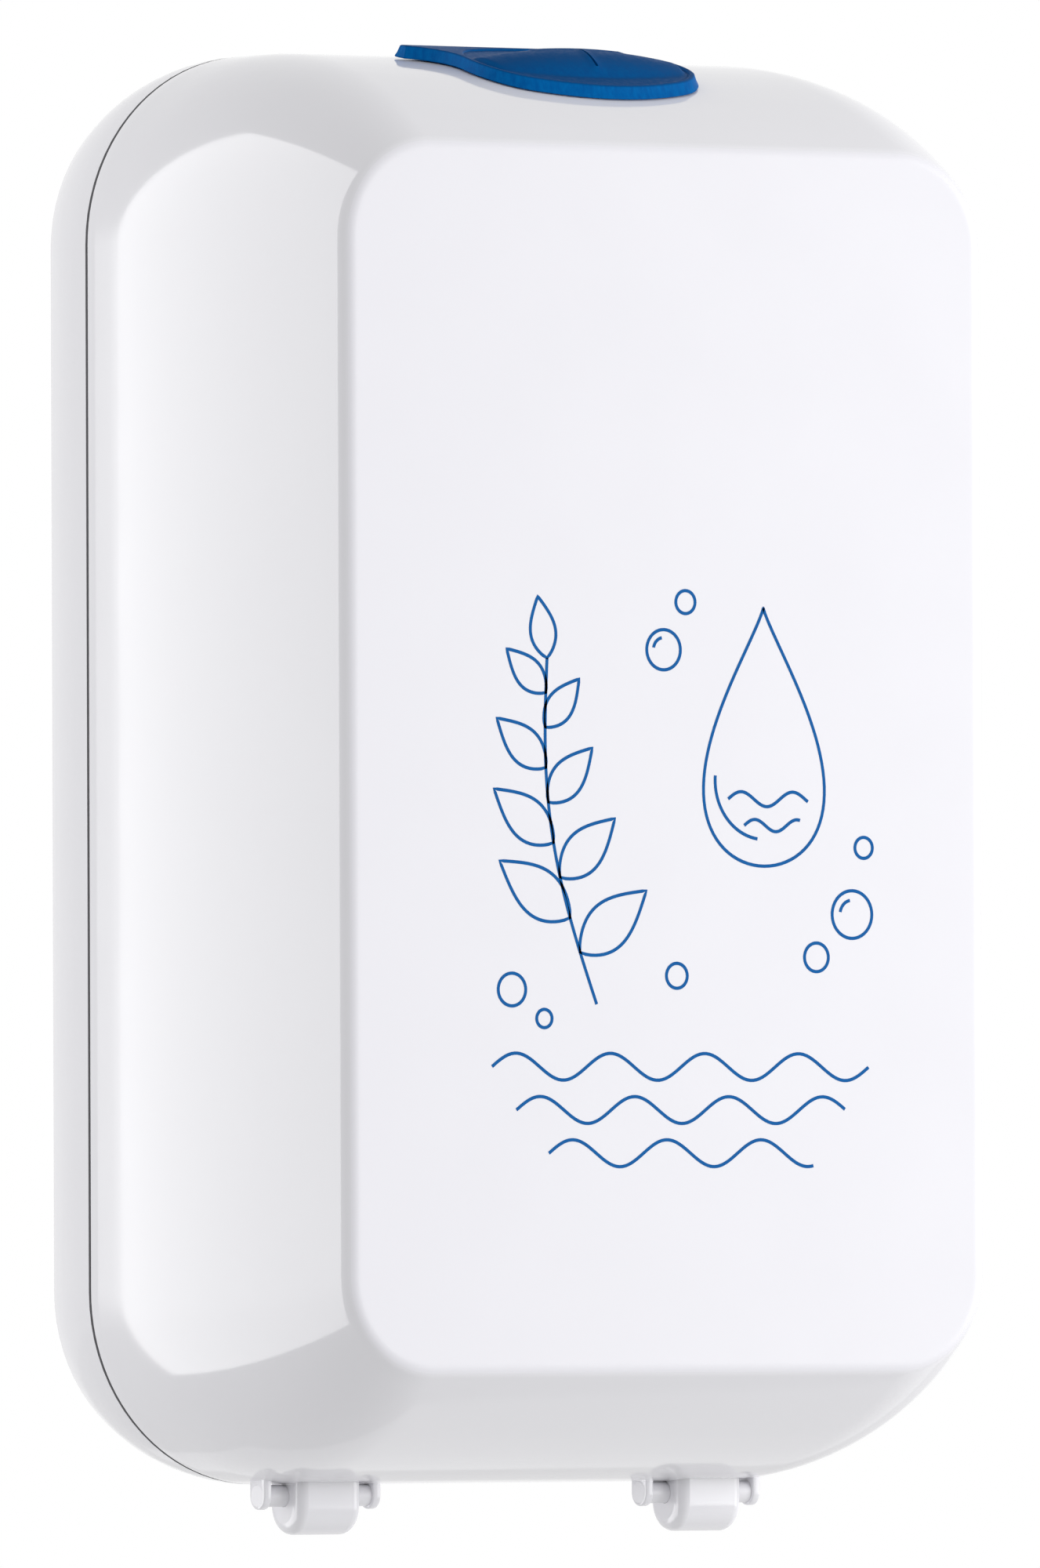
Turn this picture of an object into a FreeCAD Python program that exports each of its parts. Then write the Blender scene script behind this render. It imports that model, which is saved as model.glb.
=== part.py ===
import FreeCAD, Part
import os

import Sketcher

# Wall dispenser for wet seat wipes: a shallow rear housing stays on the wall, a deep front cover
# swings down on two hinge pins under its lower edge, and wipes leave through a slit rubber outlet
# on top. Millimetres. Z is up, the wall is the plane Y = 0 and the front faces -Y, so a depth
# measured from the wall is -Y. The origin is the middle of the back, between the wall screws.

DRIVING_SIZES = (
    ("body_width", 188.0),
    ("body_height", 300.0),
    ("body_depth", 99.0),
    ("rear_depth", 21.0),
    ("seam_gap", 0.6),
    ("arc_start", 33.0),
    ("side_inset", 15.0),
    ("top_inset", 21.0),
    ("bottom_inset", 23.5),
    ("rear_draft", 4.3),
    ("seam_corner", 40.5),
    ("front_corner", 20.5),
    ("front_fillet", 3.7),
    ("wall", 2.6),
    ("back_wall", 3.0),
    ("lip_thickness", 1.8),
    ("lip_reach", 4.0),
    ("lip_clearance", 0.5),
    ("lip_start", 60.0),
    ("lug_inset", 5.75),
    ("lug_width", 16.0),
    ("lug_half_depth", 6.2),
    ("lug_arm_inset", 0.5),
    ("lug_drop", 10.5),
    ("lug_fillet", 2.4),
    ("hinge_depth", 36.0),
    ("hinge_drop", 2.3),
    ("pin_radius", 2.3),
    ("pin_running_gap", 0.06),
    ("pin_seat_gap", 0.02),
    ("pin_bare", 4.6),
    ("ear_thickness", 1.9),
    ("ear_radius", 3.3),
    ("ear_root_margin", 0.2),
    ("notch_clearance", 0.6),
    ("swing_clearance", 0.5),
    ("outlet_depth", 65.0),
    ("outlet_half_width", 28.0),
    ("outlet_half_depth", 16.3),
    ("outlet_long_radius", 55.0),
    ("outlet_tab_reach", 33.8),
    ("outlet_tab_back", 16.3),
    ("outlet_tab_flank", 13.0),
    ("outlet_tab_setback", 1.2),
    ("outlet_tab_overlap", 1.0),
    ("outlet_rim", 2.9),
    ("outlet_flange", 4.5),
    ("outlet_seat_gap", 0.25),
    ("outlet_neck_gap", 0.3),
    ("outlet_lip", 2.5),
    ("outlet_lip_thickness", 1.8),
    ("outlet_skin", 1.6),
    ("outlet_rim_width", 2.0),
    ("outlet_dish", 2.0),
    ("dome_depth", 64.2),
    ("dome_rise", 5.2),
    ("dome_half_width", 59.0),
    ("dome_half_depth", 16.2),
    ("dome_half_height", 25.0),
    ("dome_groove", 0.6),
    ("slit_half_width", 10.2),
    ("slit_half_depth", 8.1),
    ("slit_gap", 0.5),
    ("wall_hole_radius", 2.6),
    ("wall_hole_spacing_across", 124.0),
    ("wall_hole_spacing_up", 180.0),
    ("lock_depth", 12.5),
    ("lock_wall", 1.9),
    ("lock_head_radius", 7.0),
    ("lock_head_height", 1.4),
    ("lock_head_gap", 0.2),
    ("lock_hole_gap", 0.15),
    ("lock_barrel_radius", 5.5),
    ("lock_barrel_length", 14.0),
    ("lock_nut_width", 14.0),
    ("lock_nut_height", 3.0),
    ("plug_radius", 3.5),
    ("plug_head_radius", 5.0),
    ("plug_recess", 1.2),
    ("plug_top_gap", 0.1),
    ("plug_running_gap", 0.06),
    ("plug_axial_gap", 0.3),
    ("key_slot_length", 5.0),
    ("key_slot_width", 1.2),
    ("key_slot_depth", 3.0),
    ("cam_thickness", 2.6),
    ("cam_half_width", 4.0),
    ("cam_hub_radius", 6.0),
    ("cam_hook_reach", 18.0),
    ("cam_hook_height", 12.0),
    ("keeper_gap", 1.1),
    ("keeper_thickness", 3.0),
    ("keeper_drop", 11.4),
    ("keeper_half_width", 4.0),
    ("screw_radius", 1.5),
    ("screw_head_radius", 2.8),
    ("screw_head_height", 1.8),
    ("screw_gap", 0.05),
    ("screw_bite", 5.5),
    ("screw_tip_gap", 0.4),
    ("boss_radius", 4.0),
    ("boss_height", 6.0),
    ("tray_floor_height", 24.0),
    ("tray_thickness", 2.5),
    ("tray_rim", 12.0),
    ("tray_cup_gap", 0.5),
    ("tray_back_half", 36.0),
    ("tray_back_height", 46.0),
    ("tray_screw_spacing", 56.0),
    ("tray_screw_low", 22.0),
    ("tray_screw_pitch", 16.0),
    ("cup_front_gap", 2.9),
    ("roll_core_radius", 9.0),
    ("roll_height", 200.0),
    ("roll_gap", 0.3),
    ("roll_side_gap", 1.5),
)

LOFT_STATIONS = (0.25, 0.5, 0.75, 1.0)
TAB_FLANK_SHARES = (0.75, 0.5, 0.2, 0.0)
STATION_TOLERANCE = 1e-3

doc = FreeCAD.newDocument("wipe_dispenser")


class Size:
    """A length that carries its present value and the sheet formula that gives it."""

    def __init__(self, value, formula):
        self.value = float(value)
        self.formula = formula

    @staticmethod
    def of(other):
        """Return other as a Size, where other may be a plain number."""
        return other if isinstance(other, Size) else Size(other, f"({float(other)!r})")

    def _join(self, sign, other, value):
        return Size(value, f"({self.formula} {sign} {other.formula})")

    def __add__(self, other):
        other = Size.of(other)
        return self._join("+", other, self.value + other.value)

    def __sub__(self, other):
        other = Size.of(other)
        return self._join("-", other, self.value - other.value)

    def __mul__(self, other):
        other = Size.of(other)
        return self._join("*", other, self.value * other.value)

    def __truediv__(self, other):
        other = Size.of(other)
        return self._join("/", other, self.value / other.value)

    def __rsub__(self, other):
        return Size.of(other) - self

    def __neg__(self):
        return Size(-self.value, f"(-1 * {self.formula})")

    def sqrt(self):
        """Return the square root."""
        return Size(self.value ** 0.5, f"sqrt({self.formula})")

    __radd__ = __add__
    __rmul__ = __mul__


def make_sheet():
    """Write the driving sizes to the sheet and return them by name."""
    sheet = doc.addObject("Spreadsheet::Sheet", "Sizes")
    sizes = {}
    for row, (name, value) in enumerate(DRIVING_SIZES, start=1):
        sheet.set(f"A{row}", name)
        sheet.set(f"B{row}", str(value))
        sheet.setAlias(f"B{row}", name)
        sizes[name] = Size(value, f"Sizes.{name}")
    doc.recompute()
    return sizes


S = make_sheet()


# Sketch helpers

def new_body(label):
    """Return a new empty body with the sub-part's label."""
    body = doc.addObject("PartDesign::Body", label)
    body.Label = label
    return body


def new_sketch(body, plane_role, offset=0.0):
    """Return a sketch on one of the body's own origin planes, moved along its normal."""
    plane = next(item for item in body.Origin.OriginFeatures if item.Role == plane_role)
    sketch = body.newObject("Sketcher::SketchObject", f"{body.Label}_sketch")
    sketch.AttachmentSupport = [(plane, "")]
    sketch.MapMode = "FlatFace"
    sketch.setExpression("AttachmentOffset.Base.z", Size.of(offset).formula)
    return sketch


def bind(sketch, kind, *where, size):
    """Add a dimension to the sketch and tie it to the sheet."""
    size = Size.of(size)
    index = sketch.addConstraint(Sketcher.Constraint(kind, *where, size.value))
    sketch.setExpression(f"Constraints[{index}]", size.formula)


def pin_point(sketch, geometry, point, x, y):
    """Fix a point of the sketch by its two coordinates."""
    bind(sketch, "DistanceX", -1, 1, geometry, point, size=x)
    bind(sketch, "DistanceY", -1, 1, geometry, point, size=y)


def vector(x, y):
    """Return the sketch vector at two sizes."""
    return FreeCAD.Vector(Size.of(x).value, Size.of(y).value, 0)


def polygon(sketch, points):
    """Draw a closed polygon whose corners are all tied to the sheet."""
    count = len(points)
    first = sketch.GeometryCount
    for index in range(count):
        start, end = points[index], points[(index + 1) % count]
        sketch.addGeometry(Part.LineSegment(vector(*start), vector(*end)))
    for index in range(count):
        after = first + (index + 1) % count
        sketch.addConstraint(Sketcher.Constraint("Coincident", first + index, 2, after, 1))
    for index, (x, y) in enumerate(points):
        pin_point(sketch, first + index, 1, x, y)


def circle(sketch, x, y, radius):
    """Draw a circle tied to the sheet."""
    radius = Size.of(radius)
    shape = Part.Circle(vector(x, y), FreeCAD.Vector(0, 0, 1), radius.value)
    index = sketch.addGeometry(shape)
    pin_point(sketch, index, 3, x, y)
    bind(sketch, "Radius", index, size=radius)


def arc(sketch, centre, radius, start, end):
    """Add an arc, counter-clockwise from the angle of start to the angle of end, and return it."""
    base = Part.Circle(centre, FreeCAD.Vector(0, 0, 1), radius)
    angles = [FreeCAD.Vector(1, 0, 0).getAngle(spot - centre) for spot in (start, end)]
    signed = [
        angle if spot.y >= centre.y else -angle
        for angle, spot in zip(angles, (start, end))
    ]
    return sketch.addGeometry(Part.ArcOfCircle(base, signed[0], signed[1]))


def rounded_rectangle(sketch, half_width, low, high, radius):
    """Draw a rectangle with four equal round corners, even about the vertical axis."""
    radius = Size.of(radius)
    right, top = half_width - radius, high - radius
    left, bottom = radius - half_width, low + radius
    corners = ((right, bottom), (right, top), (left, top), (left, bottom))
    directions = ((0, -1), (1, 0), (0, 1), (-1, 0))
    first = sketch.GeometryCount
    for index, (x, y) in enumerate(corners):
        centre = vector(x, y)
        start_x, start_y = directions[index]
        end_x, end_y = directions[(index + 1) % 4]
        start = centre + FreeCAD.Vector(start_x, start_y, 0) * radius.value
        end = centre + FreeCAD.Vector(end_x, end_y, 0) * radius.value
        arc(sketch, centre, radius.value, start, end)
    for index in range(4):
        here, after = first + index, first + (index + 1) % 4
        start = sketch.getPoint(here, 2)
        end = sketch.getPoint(after, 1)
        line = sketch.addGeometry(Part.LineSegment(start, end))
        sketch.addConstraint(Sketcher.Constraint("Tangent", here, 2, line, 1))
        sketch.addConstraint(Sketcher.Constraint("Tangent", line, 2, after, 1))
    for index, (x, y) in enumerate(corners):
        pin_point(sketch, first + index, 3, x, y)
        bind(sketch, "Radius", first + index, size=radius)


# Feature helpers

def feature(body, kind, sketch, length, symmetric=False, forward=True):
    """Pad or pocket a sketch along its plane's normal and return the feature."""
    item = body.newObject(f"PartDesign::{kind}", f"{body.Label}_{kind.lower()}")
    item.Profile = sketch
    item.setExpression("Length", Size.of(length).formula)
    if symmetric:
        item.SideType = "Symmetric"
    item.Reversed = forward == (kind == "Pocket")
    item.Refine = False
    sketch.Visibility = False
    return item


def block(body, kind, across, depths, heights):
    """Add or cut a box between two places across, two depths from the wall and two heights."""
    sketch = new_sketch(body, "XZ_Plane", depths[0])
    corners = [(across[0], heights[0]), (across[1], heights[0])]
    corners += [(across[1], heights[1]), (across[0], heights[1])]
    polygon(sketch, corners)
    return feature(body, kind, sketch, Size.of(depths[1]) - depths[0])


def rod_through(body, kind, x, z, radius, depths):
    """Add or cut a round rod that runs from one depth to another, square to the wall."""
    sketch = new_sketch(body, "XZ_Plane", depths[0])
    circle(sketch, x, z, radius)
    return feature(body, kind, sketch, Size.of(depths[1]) - depths[0])


def rod_across(body, kind, depth, z, radius, across):
    """Add or cut a round rod that runs along X from one place to another."""
    sketch = new_sketch(body, "YZ_Plane", across[0])
    circle(sketch, -depth, z, radius)
    return feature(body, kind, sketch, Size.of(across[1]) - across[0])


def rod_up(body, kind, depth, radius, heights):
    """Add or cut a round upright rod on the middle plane, at a depth from the wall."""
    sketch = new_sketch(body, "XY_Plane", heights[0])
    circle(sketch, 0, -depth, radius)
    return feature(body, kind, sketch, Size.of(heights[1]) - heights[0])


def loft(body, kind, sections):
    """Loft through sketches in order and return the feature."""
    item = body.newObject(f"PartDesign::{kind}", f"{body.Label}_{kind.lower()}")
    item.Profile = sections[0]
    item.Sections = sections[1:]
    item.Ruled = False
    item.Refine = False
    for sketch in sections:
        sketch.Visibility = False
    return item


# Shared shape laws

HALF_WIDTH = S["body_width"] / 2
HALF_HEIGHT = S["body_height"] / 2
REAR_EDGE = S["rear_depth"] - S["seam_gap"] / 2
COVER_EDGE = S["rear_depth"] + S["seam_gap"] / 2
ARC_REACH = S["body_depth"] - S["arc_start"]
RIM_WALL = S["wall"] + S["lip_clearance"] + S["lip_thickness"]
HINGE_HEIGHT = -HALF_HEIGHT - S["hinge_drop"]
INNER_TOP = HALF_HEIGHT - RIM_WALL


def arc_radius(inset):
    """Return the radius of the arc that leaves the straight rim and draws in by inset at the front."""
    return (ARC_REACH * ARC_REACH + inset * inset) / (inset * 2)


def arc_inset(depth, inset):
    """Return how far that arc has drawn in at a depth."""
    radius = arc_radius(inset)
    run = depth - S["arc_start"]
    return radius - (radius * radius - run * run).sqrt()


def cover_section(body, depth, straight, inward):
    """Return the cover's outline at a depth, drawn in by a wall where inward is not zero."""
    sketch = new_sketch(body, "XZ_Plane", depth)
    if straight:
        side = top = bottom = Size.of(0)
    else:
        side = arc_inset(depth, S["side_inset"])
        top = arc_inset(depth, S["top_inset"])
        bottom = arc_inset(depth, S["bottom_inset"])
    corner_loss = (S["seam_corner"] - S["front_corner"]) * side / S["side_inset"]
    rounded_rectangle(
        sketch,
        HALF_WIDTH - side - inward,
        bottom + inward - HALF_HEIGHT,
        HALF_HEIGHT - top - inward,
        S["seam_corner"] - corner_loss - inward,
    )
    return sketch


def rear_outline(body, depth, inward):
    """Return the rear housing's seam outline at a depth, drawn in evenly."""
    sketch = new_sketch(body, "XZ_Plane", depth)
    rounded_rectangle(
        sketch,
        HALF_WIDTH - inward,
        inward - HALF_HEIGHT,
        HALF_HEIGHT - inward,
        S["seam_corner"] - inward,
    )
    return sketch


def lug_centres():
    """Return the two lugs' places across, left first, each inside the end of the straight edge."""
    place = HALF_WIDTH - S["seam_corner"] - S["lug_inset"]
    return (-place, place)


# Sub-parts

def make_rear_housing():
    """The wall half: a drafted tray with a lip inside the cover and two hinge lugs below."""
    body = new_body("rear_housing")
    sections = []
    for share in (0.0, 0.5, 1.0):
        sections.append(rear_outline(body, REAR_EDGE * share, S["rear_draft"] * (1 - share) ** 2))
    loft(body, "AdditiveLoft", sections)
    hollow = rear_outline(body, S["back_wall"], RIM_WALL)
    feature(body, "Pocket", hollow, S["rear_depth"])

    lip = rear_outline(body, REAR_EDGE, RIM_WALL - S["lip_thickness"])
    rounded_rectangle(
        lip,
        HALF_WIDTH - RIM_WALL,
        RIM_WALL - HALF_HEIGHT,
        HALF_HEIGHT - RIM_WALL,
        S["seam_corner"] - RIM_WALL,
    )
    feature(body, "Pad", lip, S["seam_gap"] + S["lip_reach"])
    block(
        body,
        "Pocket",
        (-HALF_WIDTH, HALF_WIDTH),
        (REAR_EDGE, S["rear_depth"] + S["lip_reach"] * 2),
        (-HALF_HEIGHT, S["lip_start"] - HALF_HEIGHT),
    )

    for centre in lug_centres():
        hinge_lug(body, centre)
    for x in (-S["wall_hole_spacing_across"] / 2, S["wall_hole_spacing_across"] / 2):
        for z in (-S["wall_hole_spacing_up"] / 2, S["wall_hole_spacing_up"] / 2):
            rod_through(body, "Pocket", x, z, S["wall_hole_radius"], (0, S["back_wall"] * 2))
    clear_of_wall = (INNER_TOP - S["wall"], HALF_HEIGHT + S["wall"])
    rod_up(body, "Pocket", S["lock_depth"], S["lock_barrel_radius"] + S["lock_hole_gap"], clear_of_wall)
    recess = (LOCK_SEAT, HALF_HEIGHT + S["wall"])
    rod_up(body, "Pocket", S["lock_depth"], S["lock_head_radius"] + S["lock_head_gap"], recess)
    bore = S["screw_radius"] + S["screw_gap"]
    for x, z in tray_screw_places():
        rod_through(body, "Pad", x, z, S["boss_radius"], (S["back_wall"] / 2, BOSS_TOP))
        rod_through(body, "Pocket", x, z, bore, (BOSS_TOP - S["screw_bite"], BOSS_TOP + S["wall"]))
    round_lugs(body)
    return body


def hinge_lug(body, centre):
    """Add one arm that reaches forward under the cover and ends in a round-bottomed lug."""
    half = S["lug_half_depth"]
    root = REAR_EDGE - RIM_WALL
    front, back = S["hinge_depth"] + half, S["hinge_depth"] - half
    top = RIM_WALL - S["lug_arm_inset"] - HALF_HEIGHT
    under = S["lug_arm_inset"] - HALF_HEIGHT
    spring_line = -HALF_HEIGHT - S["lug_drop"] + half
    sketch = new_sketch(body, "YZ_Plane", centre - S["lug_width"] / 2)
    heel = (-root, under)
    shoulder = (-root, top)
    nose = (-front, top)
    cheek = (-front, spring_line)
    chin = (-back, spring_line)
    throat = (-back, under)
    runs = ((heel, shoulder), (shoulder, nose), (nose, cheek), (chin, throat), (throat, heel))
    lines = [
        sketch.addGeometry(Part.LineSegment(vector(*start), vector(*end))) for start, end in runs
    ]
    spine, ridge, face, rise, sole = lines
    middle = vector(-S["hinge_depth"], spring_line)
    bowl = arc(sketch, middle, half.value, vector(*cheek), vector(*chin))
    for here, after in ((spine, ridge), (ridge, face), (rise, sole), (sole, spine)):
        sketch.addConstraint(Sketcher.Constraint("Coincident", here, 2, after, 1))
    sketch.addConstraint(Sketcher.Constraint("Tangent", face, 2, bowl, 1))
    sketch.addConstraint(Sketcher.Constraint("Tangent", bowl, 2, rise, 1))
    sketch.addConstraint(Sketcher.Constraint("Vertical", face))
    sketch.addConstraint(Sketcher.Constraint("Vertical", rise))
    pin_point(sketch, spine, 1, *heel)
    pin_point(sketch, spine, 2, *shoulder)
    pin_point(sketch, bowl, 3, -S["hinge_depth"], spring_line)
    bind(sketch, "Radius", bowl, size=half)
    bind(sketch, "DistanceY", -1, 1, ridge, 2, size=top)
    bind(sketch, "DistanceY", -1, 1, sole, 1, size=under)
    feature(body, "Pad", sketch, S["lug_width"])
    rod_across(
        body,
        "Pocket",
        S["hinge_depth"],
        HINGE_HEIGHT,
        S["pin_radius"] + S["pin_running_gap"],
        (centre - S["lug_width"], centre + S["lug_width"]),
    )


def round_lugs(body):
    """Round the side edges of both lugs below the arms."""
    doc.recompute()
    bored = body.Tip
    sides = [
        centre.value + S["lug_width"].value / 2 * sign for centre in lug_centres() for sign in (-1, 1)
    ]
    edges = [
        f"Edge{number}"
        for number, edge in enumerate(bored.Shape.Edges, start=1)
        if edge.BoundBox.XLength < STATION_TOLERANCE
        and min(abs(edge.CenterOfMass.x - side) for side in sides) < STATION_TOLERANCE
        and edge.CenterOfMass.z < HINGE_HEIGHT.value
        and not edge.isClosed()
    ]
    fillet = body.newObject("PartDesign::Fillet", "rear_housing_fillet")
    fillet.Base = (bored, edges)
    fillet.setExpression("Radius", S["lug_fillet"].formula)


def make_front_cover():
    """The deep front shell with its hinge ears, notches, outlet opening and lock keeper."""
    body = new_body("front_cover")
    stations = [S["arc_start"] + ARC_REACH * share for share in LOFT_STATIONS]
    sections = [cover_section(body, COVER_EDGE, True, Size.of(0))]
    sections.append(cover_section(body, S["arc_start"], True, Size.of(0)))
    sections += [cover_section(body, depth, False, Size.of(0)) for depth in stations]
    outer = loft(body, "AdditiveLoft", sections)
    doc.recompute()
    front = -S["body_depth"].value
    edges = [
        f"Edge{number}"
        for number, edge in enumerate(outer.Shape.Edges, start=1)
        if all(abs(corner.Y - front) < STATION_TOLERANCE for corner in edge.Vertexes)
    ]
    fillet = body.newObject("PartDesign::Fillet", "front_cover_fillet")
    fillet.Base = (outer, edges)
    fillet.setExpression("Radius", S["front_fillet"].formula)

    inner_reach = ARC_REACH - S["wall"]
    inner_stations = [S["arc_start"] + inner_reach * share for share in LOFT_STATIONS]
    hollow = [cover_section(body, S["rear_depth"] - S["wall"], True, S["wall"])]
    hollow.append(cover_section(body, S["arc_start"], True, S["wall"]))
    hollow += [cover_section(body, depth, False, S["wall"]) for depth in inner_stations]
    loft(body, "SubtractiveLoft", hollow)

    for centre in lug_centres():
        hinge_ears(body, centre)
    outlet = outlet_sketch(body, -S["outlet_flange"], HALF_HEIGHT * 2)
    feature(body, "Pocket", outlet, HALF_HEIGHT * 2 - HALF_HEIGHT / 2, forward=False)
    block(
        body,
        "Pad",
        (-S["keeper_half_width"], S["keeper_half_width"]),
        (KEEPER_BACK, KEEPER_FRONT),
        (HALF_HEIGHT - S["wall"] - S["keeper_drop"], HALF_HEIGHT - S["wall"] / 2),
    )
    return body


def hinge_ears(body, centre):
    """Add the two ears beside one lug, bore them for the pin and notch the wall for the lug."""
    inner = S["lug_width"] / 2 + S["pin_bare"]
    radius = S["ear_radius"]
    root = S["wall"] - S["ear_root_margin"] - HALF_HEIGHT
    for start in (centre - inner - S["ear_thickness"], centre + inner):
        end = start + S["ear_thickness"]
        rod_across(body, "Pad", S["hinge_depth"], HINGE_HEIGHT, radius, (start, end))
        depths = (S["hinge_depth"] - radius, S["hinge_depth"] + radius)
        block(body, "Pad", (start, end), depths, (HINGE_HEIGHT, root))
        bore = S["pin_radius"] + S["pin_seat_gap"]
        rod_across(body, "Pocket", S["hinge_depth"], HINGE_HEIGHT, bore, (start - 1, end + 1))
    half = S["lug_width"] / 2 + S["notch_clearance"]
    reach = S["lug_drop"] - S["hinge_drop"] + S["swing_clearance"]
    block(
        body,
        "Pocket",
        (centre - half, centre + half),
        (S["rear_depth"] - S["wall"], S["hinge_depth"] + reach),
        (-HALF_HEIGHT - S["wall"], S["wall"] * 3 - HALF_HEIGHT),
    )


# The outlet's plan: an oval of two long arcs and two end arcs, with a tab beside its left end

def outlet_end_radius():
    """Return the radius of the oval's end arcs, which run smoothly into its long arcs."""
    long_radius, half_width = S["outlet_long_radius"], S["outlet_half_width"]
    rise = long_radius - S["outlet_half_depth"]
    square = long_radius * long_radius - rise * rise - half_width * half_width
    return square / (long_radius - half_width) / 2


def outlet_sketch(body, outset, height):
    """Return the outlet's oval on a level plane, moved outward by outset."""
    sketch = new_sketch(body, "XY_Plane", height)
    long_radius = S["outlet_long_radius"] + outset
    end_radius = outlet_end_radius() + outset
    rise = S["outlet_long_radius"] - S["outlet_half_depth"]
    end_x = S["outlet_half_width"] - outlet_end_radius()
    middle = -S["outlet_depth"]
    front_y, back_y = middle + rise, middle - rise
    front, back = vector(0, front_y), vector(0, back_y)
    right, left = vector(end_x, middle), vector(-end_x, middle)
    pairs = ((front, left), (front, right), (back, right), (back, left))
    joints = [centre + (end - centre).normalize() * long_radius.value for centre, end in pairs]
    centres = (front, right, back, left)
    radii = (long_radius, end_radius, long_radius, end_radius)
    arcs = [
        arc(sketch, centre, radius.value, joints[index], joints[(index + 1) % len(joints)])
        for index, (centre, radius) in enumerate(zip(centres, radii))
    ]
    for here, after in zip(arcs, arcs[1:] + arcs[:1]):
        sketch.addConstraint(Sketcher.Constraint("Tangent", here, 2, after, 1))
    pin_point(sketch, arcs[0], 3, 0, front_y)
    pin_point(sketch, arcs[2], 3, 0, back_y)
    for item, radius in zip(arcs, radii):
        bind(sketch, "Radius", item, size=radius)
    return sketch


def tab_sketch(body, height):
    """Return the tab's plan on a level plane: a straight back, a short tip and a hollow flank."""
    sketch = new_sketch(body, "XY_Plane", height)
    end_radius, hollow = outlet_end_radius(), S["outlet_tab_flank"]
    end_x = end_radius - S["outlet_half_width"]
    middle = -S["outlet_depth"]
    apart, setback = end_radius + hollow, S["outlet_tab_setback"]
    hollow_x = end_x - (apart * apart - setback * setback).sqrt()
    hollow_y = middle + setback
    tip_x = -S["outlet_tab_reach"]
    run = tip_x - hollow_x
    flank = [
        (hollow_x + hollow * (1 - share * share) ** 0.5, hollow_y + hollow * share)
        for share in TAB_FLANK_SHARES
    ]
    points = [
        (Size.of(0), middle + S["outlet_half_depth"] - S["outlet_tab_overlap"]),
        (tip_x, middle + S["outlet_tab_back"]),
        (tip_x, hollow_y + (hollow * hollow - run * run).sqrt()),
        *flank,
        (end_x, middle),
    ]
    polygon(sketch, points)
    return sketch


def top_profile(body, offset, far):
    """Return the region between the cover's top line, raised by offset, and a far level."""
    sketch = new_sketch(body, "YZ_Plane")
    line = HALF_HEIGHT + offset
    radius = arc_radius(S["top_inset"])
    centre_z = line - radius
    back_y = Size.of(0)
    bend_y = -S["arc_start"]
    front_y = -S["body_depth"]
    front_z = line - S["top_inset"]
    bend, front = vector(bend_y, line), vector(front_y, front_z)
    flat = sketch.addGeometry(Part.LineSegment(vector(back_y, line), bend))
    crown = arc(sketch, vector(bend_y, centre_z), radius.value, bend, front)
    fall = sketch.addGeometry(Part.LineSegment(front, vector(front_y, far)))
    level = sketch.addGeometry(Part.LineSegment(vector(front_y, far), vector(back_y, far)))
    close = sketch.addGeometry(Part.LineSegment(vector(back_y, far), vector(back_y, line)))
    chain = [flat, crown, fall, level, close]
    for here, after in zip(chain, chain[1:] + chain[:1]):
        sketch.addConstraint(Sketcher.Constraint("Coincident", here, 2, after, 1))
    pin_point(sketch, flat, 1, back_y, line)
    pin_point(sketch, crown, 1, bend_y, line)
    pin_point(sketch, fall, 1, front_y, front_z)
    pin_point(sketch, level, 1, front_y, far)
    pin_point(sketch, close, 1, back_y, far)
    bind(sketch, "Radius", crown, size=radius)
    return sketch


def trim(body, offset, far):
    """Cut away what lies between the raised top line and a far level."""
    sketch = top_profile(body, offset, far)
    return feature(body, "Pocket", sketch, S["body_width"], symmetric=True)


def outlet_form(name, draw_plan, low, high):
    """Return a slab with a drawn plan between two lines parallel to the cover's top."""
    body = new_body(name)
    above = HALF_HEIGHT + S["body_depth"] / 2
    below = HALF_HEIGHT - S["body_depth"] / 2
    feature(body, "Pad", draw_plan(body, above), above - below, forward=False)
    trim(body, low, below)
    trim(body, high, above)
    return body


def oval_form(name, outset, low, high):
    """Return a slab with the outlet's oval plan, moved outward by outset."""
    return outlet_form(name, lambda body, height: outlet_sketch(body, outset, height), low, high)


def ellipsoid(name, shrink):
    """Return the dome's upright ellipsoid, made smaller by shrink."""
    item = doc.addObject("Part::Ellipsoid", name)
    shrink = Size.of(shrink)
    item.setExpression("Radius1", (S["dome_half_height"] - shrink).formula)
    item.setExpression("Radius2", (S["dome_half_width"] - shrink).formula)
    item.setExpression("Radius3", (S["dome_half_depth"] - shrink).formula)
    surface = HALF_HEIGHT - arc_inset(S["dome_depth"], S["top_inset"])
    item.setExpression("Placement.Base.y", (-S["dome_depth"]).formula)
    item.setExpression("Placement.Base.z", (surface + S["dome_rise"] - S["dome_half_height"]).formula)
    return item


def slit(name, half_across, half_deep):
    """Return one thin upright cutter through the middle of the dome."""
    item = doc.addObject("Part::Box", name)
    item.setExpression("Length", (half_across * 2).formula)
    item.setExpression("Width", (half_deep * 2).formula)
    item.setExpression("Height", S["body_depth"].formula)
    item.setExpression("Placement.Base.x", (-half_across).formula)
    item.setExpression("Placement.Base.y", (-S["outlet_depth"] - half_deep).formula)
    item.setExpression("Placement.Base.z", (HALF_HEIGHT - S["body_depth"] / 2).formula)
    return item


def join(name, shapes):
    """Return the union of several shapes."""
    item = doc.addObject("Part::MultiFuse", name)
    item.Shapes = shapes
    item.Refine = False
    return item


def cut(name, base, tool):
    """Return one shape less another."""
    item = doc.addObject("Part::Cut", name)
    item.Base = base
    item.Tool = tool
    item.Refine = False
    return item


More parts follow.
